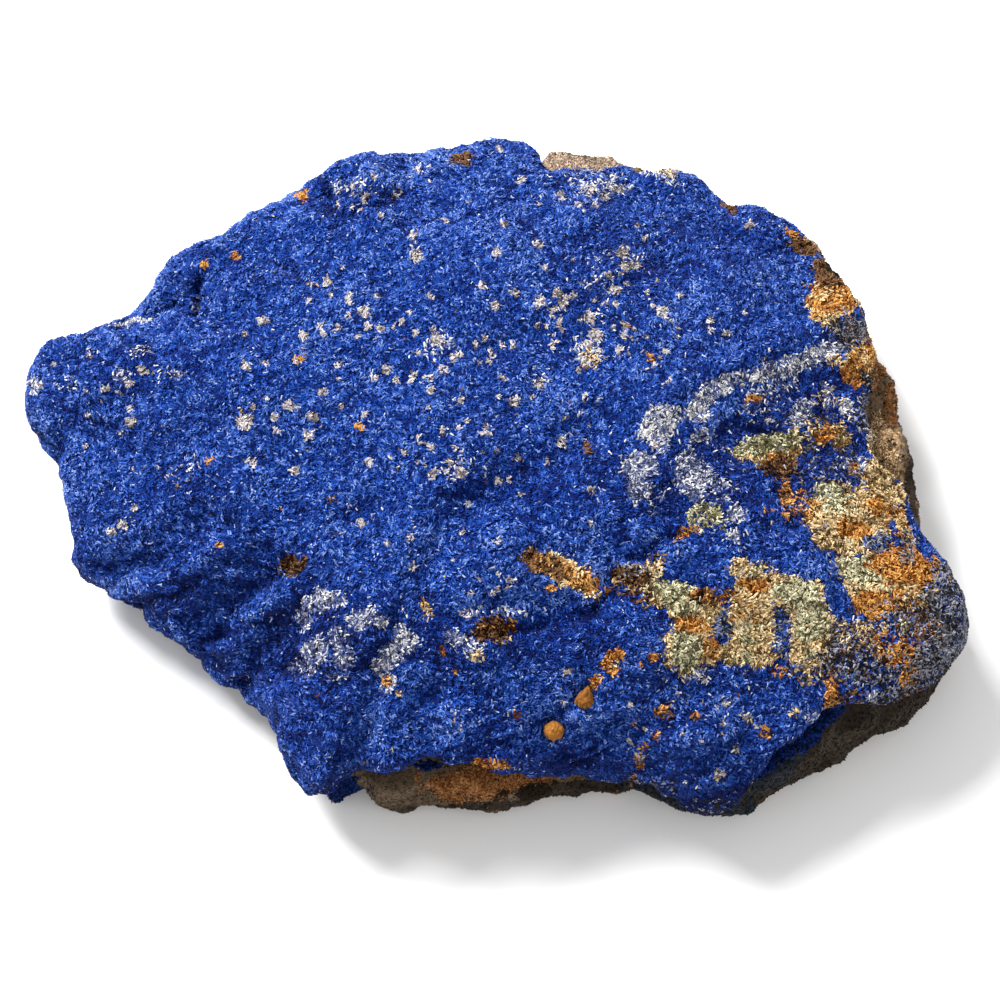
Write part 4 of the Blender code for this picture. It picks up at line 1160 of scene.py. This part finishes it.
class CrustSettings(PropertyGroup):
    """Sizes and colours of the crust and its crystals."""

    mesh_size: length_property("Mesh Size", "Distance between the vertices of the crust", 0.4)
    relief: FloatProperty(name="Relief", description="Share of the usual height of the lumps and creases",
                          default=1.0, min=0.0, max=2.0, subtype="FACTOR")
    crystal_length: length_property("Crystal Length", "Mean length of one crystal", 0.37)
    crystal_width: length_property("Crystal Width", "Mean width of one crystal", 0.145)
    crystal_count: IntProperty(name="Crystals per Piece", description="Crystals strewn for each piece",
                               default=96000, min=1000, max=99000)
    # The blues follow each crystal's tone, which carries painted light and shade: the darker blues stand
    # partly for painted shade in gaps, creases and beneath, the brighter and pale ones partly for painted
    # light on the tops of lumps
    azurite_deep: colour_property("Navy", "Crystals that lie in shade, and the crust under them",
                                  (0.001, 0.008, 0.09))
    azurite_low: colour_property("Deep Blue", "Crystals in the gaps of the crust", (0.002, 0.023, 0.18))
    azurite_mid: colour_property("Royal Blue", "Most crystals", (0.009, 0.054, 0.315))
    azurite_bright: colour_property("Bright Blue", "Crystals at the tops of the lumps", (0.045, 0.118, 0.44))
    azurite_pale: colour_property("Pale Blue", "Crystals that catch the light", (0.17, 0.26, 0.57))
    # The colour of the painted highlights on a few crystals
    painted_glint: colour_property("Glint", "The few crystals that look white", (0.55, 0.61, 0.74))


class StainSettings(PropertyGroup):
    """Colours of the stains and specks on the crust."""

    strand: length_property("Strand Length", "Mean length of one stained crystal", 0.4)
    pale: colour_property("Pale", "Bleached streak", (0.71, 0.695, 0.68))
    chalk: colour_property("Chalk", "Chalky specks", (0.58, 0.53, 0.525))
    cream: colour_property("Cream", "Cream patches", (0.8, 0.6, 0.33))
    green: colour_property("Green", "Green-cream patches", (0.72, 0.68, 0.45))
    ochre: colour_property("Ochre", "Ochre patches", (0.68, 0.33, 0.085))
    brown: colour_property("Brown", "Brown patches", (0.2, 0.1, 0.042))
    slate: colour_property("Slate", "Dark weathered azurite", (0.29, 0.29, 0.345))


class SandstoneSettings(PropertyGroup):
    """Sizes and colours of the rock."""

    mesh_size: length_property("Mesh Size", "Distance between the vertices of the rock", 0.3)
    sand_count: IntProperty(name="Sand Grains", description="Sand grains on the bare rock, besides crumbs",
                            default=24000, min=1000, max=49500)
    sand_size: length_property("Sand Grain Size", "Mean size of one sand grain", 0.3)
    sandstone: colour_property("Sandstone", "Fresh sandstone", (0.22, 0.14, 0.08))
    sandstone_dark: colour_property("Dark Sandstone", "Dark damp-looking beds", (0.038, 0.0255, 0.0155))
    sandstone_grey: colour_property("Grey Sandstone", "Weathered greyish-brown faces", (0.12, 0.081, 0.048))
    rust: colour_property("Rust", "Iron-stained sandstone", (0.42, 0.215, 0.085))
    bleached: colour_property("Bleached", "Bleached faces near the crust", (0.76, 0.58, 0.43))
    sandy: colour_property("Sandy", "Loose sandy crumbs", (0.78, 0.56, 0.33))
    tan: colour_property("Tan", "Tan beds", (0.44, 0.33, 0.23))


class NoduleSettings(PropertyGroup):
    """Colours and fineness of the limonite nodules."""

    fineness: IntProperty(name="Fineness", description="Subdivisions of a nodule", default=5, min=3, max=7)
    limonite: colour_property("Limonite", "Light ochre of the nodules", (0.4, 0.155, 0.018))
    limonite_deep: colour_property("Deep Limonite", "Browner limonite in their hollows", (0.11, 0.035, 0.004))


class StageSettings(PropertyGroup):
    """The floor and the light."""

    floor: colour_property("Floor", "Colour of the floor", (0.92, 0.92, 0.92))
    key_power: power_property("Key Light", "Power of the soft key light", 8.4)
    fill_power: power_property("Fill Light", "Power of the weak fill light", 0.6)
    sky: FloatProperty(name="Sky", description="Strength of the light from all round", default=0.72, min=0.0)


SETTINGS = (("crust", CrustSettings), ("stain", StainSettings), ("sandstone", SandstoneSettings),
            ("nodule", NoduleSettings), ("stage", StageSettings))


class Look:
    """All the colours of the settings, in one place."""

    def __init__(self, scene):
        for key, kind in SETTINGS:
            for name in kind.__annotations__:
                value = getattr(getattr(scene, "azurite_" + key), name)
                if hasattr(value, "__len__"):
                    setattr(self, name, tuple(value))


# ---------------------------------------------------------------- stage

# The floor's half width, and the places and sizes of the two soft lights, in metres
FLOOR_REACH = 3.0
KEY_PLACE, KEY_SIZE = (-0.3, 0.34, 0.43), 0.26
FILL_PLACE, FILL_SIZE = (0.4, -0.3, 0.4), 0.5


def make_floor(scene, colour):
    mesh = primitive("floor", bmesh.ops.create_grid, x_segments=8, y_segments=8, size=FLOOR_REACH)
    material, _, shader, _ = new_material("floor_paper")
    for title, value in (("Base Color", opaque(colour)), ("Roughness", 0.9), ("Specular IOR Level", 0.1)):
        shader.inputs[title].default_value = value
    mesh.materials.append(material)
    floor = bpy.data.objects.new("floor", mesh)
    scene.collection.objects.link(floor)


def make_sky(scene, strength):
    """White light from all round."""
    world = bpy.data.worlds.new("studio")
    world.use_nodes = True
    background = world.node_tree.nodes["Background"]
    background.inputs["Color"].default_value = (1.0, 1.0, 1.0, 1.0)
    background.inputs["Strength"].default_value = strength
    scene.world = world


def make_soft_light(scene, name, place, size, power):
    """A square lamp that shines towards the specimen."""
    light = bpy.data.lights.new(name, "AREA")
    light.energy, light.size = power, size
    lamp = bpy.data.objects.new(name, light)
    lamp.location = place
    lamp.rotation_euler = (-Vector(place)).to_track_quat("-Z", "Y").to_euler()
    scene.collection.objects.link(lamp)


def make_camera(scene):
    right, up, back = camera_axes()
    camera = bpy.data.objects.new("camera", bpy.data.cameras.new("camera"))
    camera.data.lens, camera.data.sensor_width, camera.data.sensor_fit = LENS, SENSOR, "HORIZONTAL"
    camera.data.clip_start = 0.01
    camera.location = (Vector(AIM) + right * AIM_RIGHT + up * AIM_UP + back * DISTANCE) * MM
    camera.rotation_euler = back.to_track_quat("Z", "Y").to_euler()
    scene.collection.objects.link(camera)
    scene.camera = camera
    scene.view_settings.view_transform = "Standard"


# ---------------------------------------------------------------- operators


class AZURITE_OT_crust(Operator):
    """Makes the crust: the frame's solid, finely remeshed, with its lumps, its creases and its stains."""

    bl_idname = "azurite.crust"
    bl_label = "Azurite Crust"

    def execute(self, context):
        settings = context.scene.azurite_crust
        mesh = remeshed("azurite_crust", settings.mesh_size)
        places = smoothed(mesh, rounds=12)
        depth = distance_to("sandstone_matrix", places)
        outer = ramp(depth, *RELIEF_DEPTH)
        move_to(mesh, places)
        normals = normals_of(mesh)
        rise = settings.relief * crust_relief(places, normals)
        roughening = np.random.default_rng(SEEDS["crust"]).normal(scale=0.03, size=places.shape)
        places = places + normals * (rise * outer)[:, None] + roughening * outer[:, None]
        move_to(mesh, kept_inside(drawn_in(places)))
        mesh = thinned(mesh, "azurite_crust_body", depth < SHOWN_DEPTH, CRUST_SAVED)
        for kind, cover in stain_cover(places_of(mesh), normals_of(mesh)).items():
            add_number(mesh, kind, cover)
        skin = azurite_skin(Look(context.scene))
        add_piece("azurite_crust_body", mesh, skin, ["azurite_crust"], smooth=True)
        return {"FINISHED"}


class AZURITE_OT_crystals(Operator):
    """Strews single crystals, stain grains and chalky specks over the crust, as joined meshes."""

    bl_idname = "azurite.crystals"
    bl_label = "Azurite Crystals and Stain Grains"

    def execute(self, context):
        settings, stains = context.scene.azurite_crust, context.scene.azurite_stain
        crust = context.scene.objects.get("azurite_crust_body")
        if crust is None:
            raise RuntimeError("the crystals need the crust first")
        rng = np.random.default_rng(SEEDS["crystals"])
        outside = distance_to("sandstone_matrix", places_of(crust.data)) > CRYSTAL_DEPTH
        many = CRYSTAL_PIECES * how_many(settings.crystal_count)
        places, normals = strewn(crust.data, many, outside, rng)
        along = tangents(places, normals, rng, spread=0.55)
        clump = fractal(places, 0.55, 103, 2)
        steep = 1.0 - ramp(normals[:, 2], 0.3, 0.75)
        own = rng.normal(size=many).clip(-1.6, 1.6)
        proud = (PROUD + TUFT_RISE * clump + OWN_RISE * own) * (1.0 - STEEP_FLATTER * steep)
        places = places + normals * proud[:, None].clip(0.0)
        kinds = crystal_kinds(places, normals, rng)
        blue_tone, stain_tone = crystal_tones(places, normals, clump, own, rng)
        length = settings.crystal_length / MM * rng.uniform(0.6, 1.4, many) * (1.0 - STEEP_SHORTER * steep)
        width = settings.crystal_width / MM * rng.uniform(0.7, 1.3, many)
        tilt = np.radians(rng.uniform(2.0, 36.0, many) * (1.0 - STEEP_FLATTER * steep))

        look = Look(context.scene)
        material = azurite_crystal(look)
        blue = np.flatnonzero(kinds == "blue")
        parts = (places, normals, along, length, width, tilt, blue_tone)
        for index in range(CRYSTAL_PIECES):
            name = f"azurite_crystals_{index + 1}"
            chosen = blue[index::CRYSTAL_PIECES]
            made = strewn_mesh(name, CRYSTAL, *(part[chosen] for part in parts))
            add_piece(name, made, material)

        stretch = stains.strand / settings.crystal_length
        parts = (places + normals * STAIN_LIFT, normals, along, length * stretch, width * STAIN_WIDTH, tilt,
                 stain_tone)
        colours = {**stain_colours(look), "chalk": (steeped(look.chalk, 0.5), look.chalk)}
        for kind, (deep, light) in colours.items():
            name = "stain_grains_" + kind
            made = strewn_mesh(name, CRYSTAL, *(part[kinds == kind] for part in parts))
            add_piece(name, made, grain_material("grain_" + kind, deep, light, 0.9))
        return {"FINISHED"}


class AZURITE_OT_sandstone(Operator):
    """Makes the rock: the frame's solid, finely remeshed, broken and granular, flat where it rests."""

    bl_idname = "azurite.sandstone"
    bl_label = "Sandstone"

    def execute(self, context):
        settings = context.scene.azurite_sandstone
        mesh = remeshed("sandstone_matrix", settings.mesh_size)
        places = places_of(mesh)
        resting = places[:, 2] < RESTING_HEIGHT
        places = np.where(resting[:, None], places, smoothed(mesh, rounds=4))
        bare = ramp(distance_to("azurite_crust", places), *ROCK_DEPTH)
        move_to(mesh, places)
        normals = normals_of(mesh)
        rise = rock_relief(places) * bare * ramp(places[:, 2], 0.0, 0.8)
        move_to(mesh, kept_inside(places + normals * rise[:, None]))
        hidden = (bare < 0.02) | (normals[:, 2] < -0.95)
        mesh = thinned(mesh, "sandstone_body", hidden, ROCK_SAVED)
        places, normals = places_of(mesh), normals_of(mesh)
        stains = rock_cover(places, normals)
        for kind, cover in stains.items():
            add_number(mesh, kind, cover)
        look = Look(context.scene)
        rock = sandstone_material(look)
        add_piece("sandstone_body", mesh, rock, ["sandstone_matrix"], smooth=True)

        rng = np.random.default_rng(SEEDS["sand"])
        clear = distance_to("azurite_crust", places) > SAND_DEPTH
        allowed = clear & (places[:, 2] > 0.5) & (normals[:, 2] > -0.8)
        crumbs = np.maximum.reduce([stains[kind] for kind in CRUMBLY])
        crumbly = allowed & (crumbs > 0.4) & (towards_camera(normals) > 0.0)
        count = how_many(settings.sand_count)
        grains, more = strewn(mesh, count, allowed, rng), strewn(mesh, count // 2, crumbly, rng)
        spots, ups = (np.concatenate(both) for both in zip(grains, more))
        proud = np.where(np.arange(len(spots)) < count, SAND_PROUD, CRUMB_PROUD)
        spots = spots + ups * proud[:, None]
        along = tangents(spots, ups, rng, spread=2.0)
        kinds = np.full(len(spots), "sand", dtype=object)
        for kind, cover in rock_cover(spots, ups).items():
            kinds[cover > 0.2 + 0.6 * rng.random(len(spots))] = kind
        colours = {**rock_colours(look), "sand": (look.sandstone_dark, look.sandstone)}
        for kind, (deep, light) in colours.items():
            chosen = kinds == kind
            many = np.count_nonzero(chosen)
            size = settings.sand_size / MM * rng.uniform(0.5, 1.4, many)
            tilt = np.radians(rng.uniform(0.0, 30.0, many))
            tone = np.clip(rng.normal(0.5, 0.3, many), 0.0, 1.0)
            name = "sand_grains_" + kind
            made = strewn_mesh(name, GRAIN, spots[chosen], ups[chosen], along[chosen],
                               size * 1.1, size * 0.95, tilt, tone)
            add_piece(name, made, grain_material("sand_" + kind, deep, light, 0.95))
        return {"FINISHED"}


class AZURITE_OT_nodules(Operator):
    """Makes the two limonite nodules: a round ball, and a darker lump."""

    bl_idname = "azurite.nodules"
    bl_label = "Limonite Nodules"

    def execute(self, context):
        settings = context.scene.azurite_nodule
        look = Look(context.scene)
        for name, taper, uneven, light, seed in (
                ("limonite_nodule_round", 0.0, 0.2, look.limonite, 181),
                ("limonite_nodule_lump", 0.65, 0.34, shade(look.limonite, 0.75), 191)):
            mesh = primitive(name, bmesh.ops.create_icosphere, subdivisions=settings.fineness, radius=1.0)
            form = nodule_form(places_of(mesh) * MM, taper, uneven, seed)
            low, high = (np.array(corner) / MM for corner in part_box(name))
            move_to(mesh, kept_inside((low + high) / 2 + form * (high - low) / 2))
            material = limonite_material(look, name, light, look.limonite_deep)
            add_piece(name + "_piece", mesh, material, [name], smooth=True)
        return {"FINISHED"}


class AZURITE_OT_stage(Operator):
    """Makes the floor, the light and the camera."""

    bl_idname = "azurite.stage"
    bl_label = "Stage"

    def execute(self, context):
        scene = context.scene
        settings = scene.azurite_stage
        make_floor(scene, settings.floor)
        make_sky(scene, settings.sky)
        make_soft_light(scene, "key_light", KEY_PLACE, KEY_SIZE, settings.key_power)
        make_soft_light(scene, "fill_light", FILL_PLACE, FILL_SIZE, settings.fill_power)
        make_camera(scene)
        return {"FINISHED"}


class AZURITE_PT_panel(Panel):
    """Lists the pieces of the specimen, with their settings."""

    bl_idname = "AZURITE_PT_panel"
    bl_label = "Azurite Specimen"
    bl_space_type = "VIEW_3D"
    bl_region_type = "UI"
    bl_category = "Azurite"

    def draw(self, context):
        for key, kind in SETTINGS:
            box = self.layout.box()
            for name in kind.__annotations__:
                box.prop(getattr(context.scene, "azurite_" + key), name)
        for operator in OPERATORS:
            self.layout.operator(operator.bl_idname)


OPERATORS = (AZURITE_OT_stage, AZURITE_OT_crust, AZURITE_OT_crystals, AZURITE_OT_sandstone,
             AZURITE_OT_nodules)
CLASSES = tuple(kind for _, kind in SETTINGS) + OPERATORS + (AZURITE_PT_panel,)


def register():
    for kind in CLASSES:
        bpy.utils.register_class(kind)
    for key, kind in SETTINGS:
        setattr(bpy.types.Scene, "azurite_" + key, PointerProperty(type=kind))


def unregister():
    for key, _ in SETTINGS:
        delattr(bpy.types.Scene, "azurite_" + key)
    for kind in reversed(CLASSES):
        bpy.utils.unregister_class(kind)


def main():
    register()
    build_mineral_grain()
    build_stain()
    bpy.ops.azurite.stage()
    bpy.ops.azurite.crust()
    bpy.ops.azurite.crystals()
    bpy.ops.azurite.sandstone()
    bpy.ops.azurite.nodules()


if __name__ == "__main__":
    main()
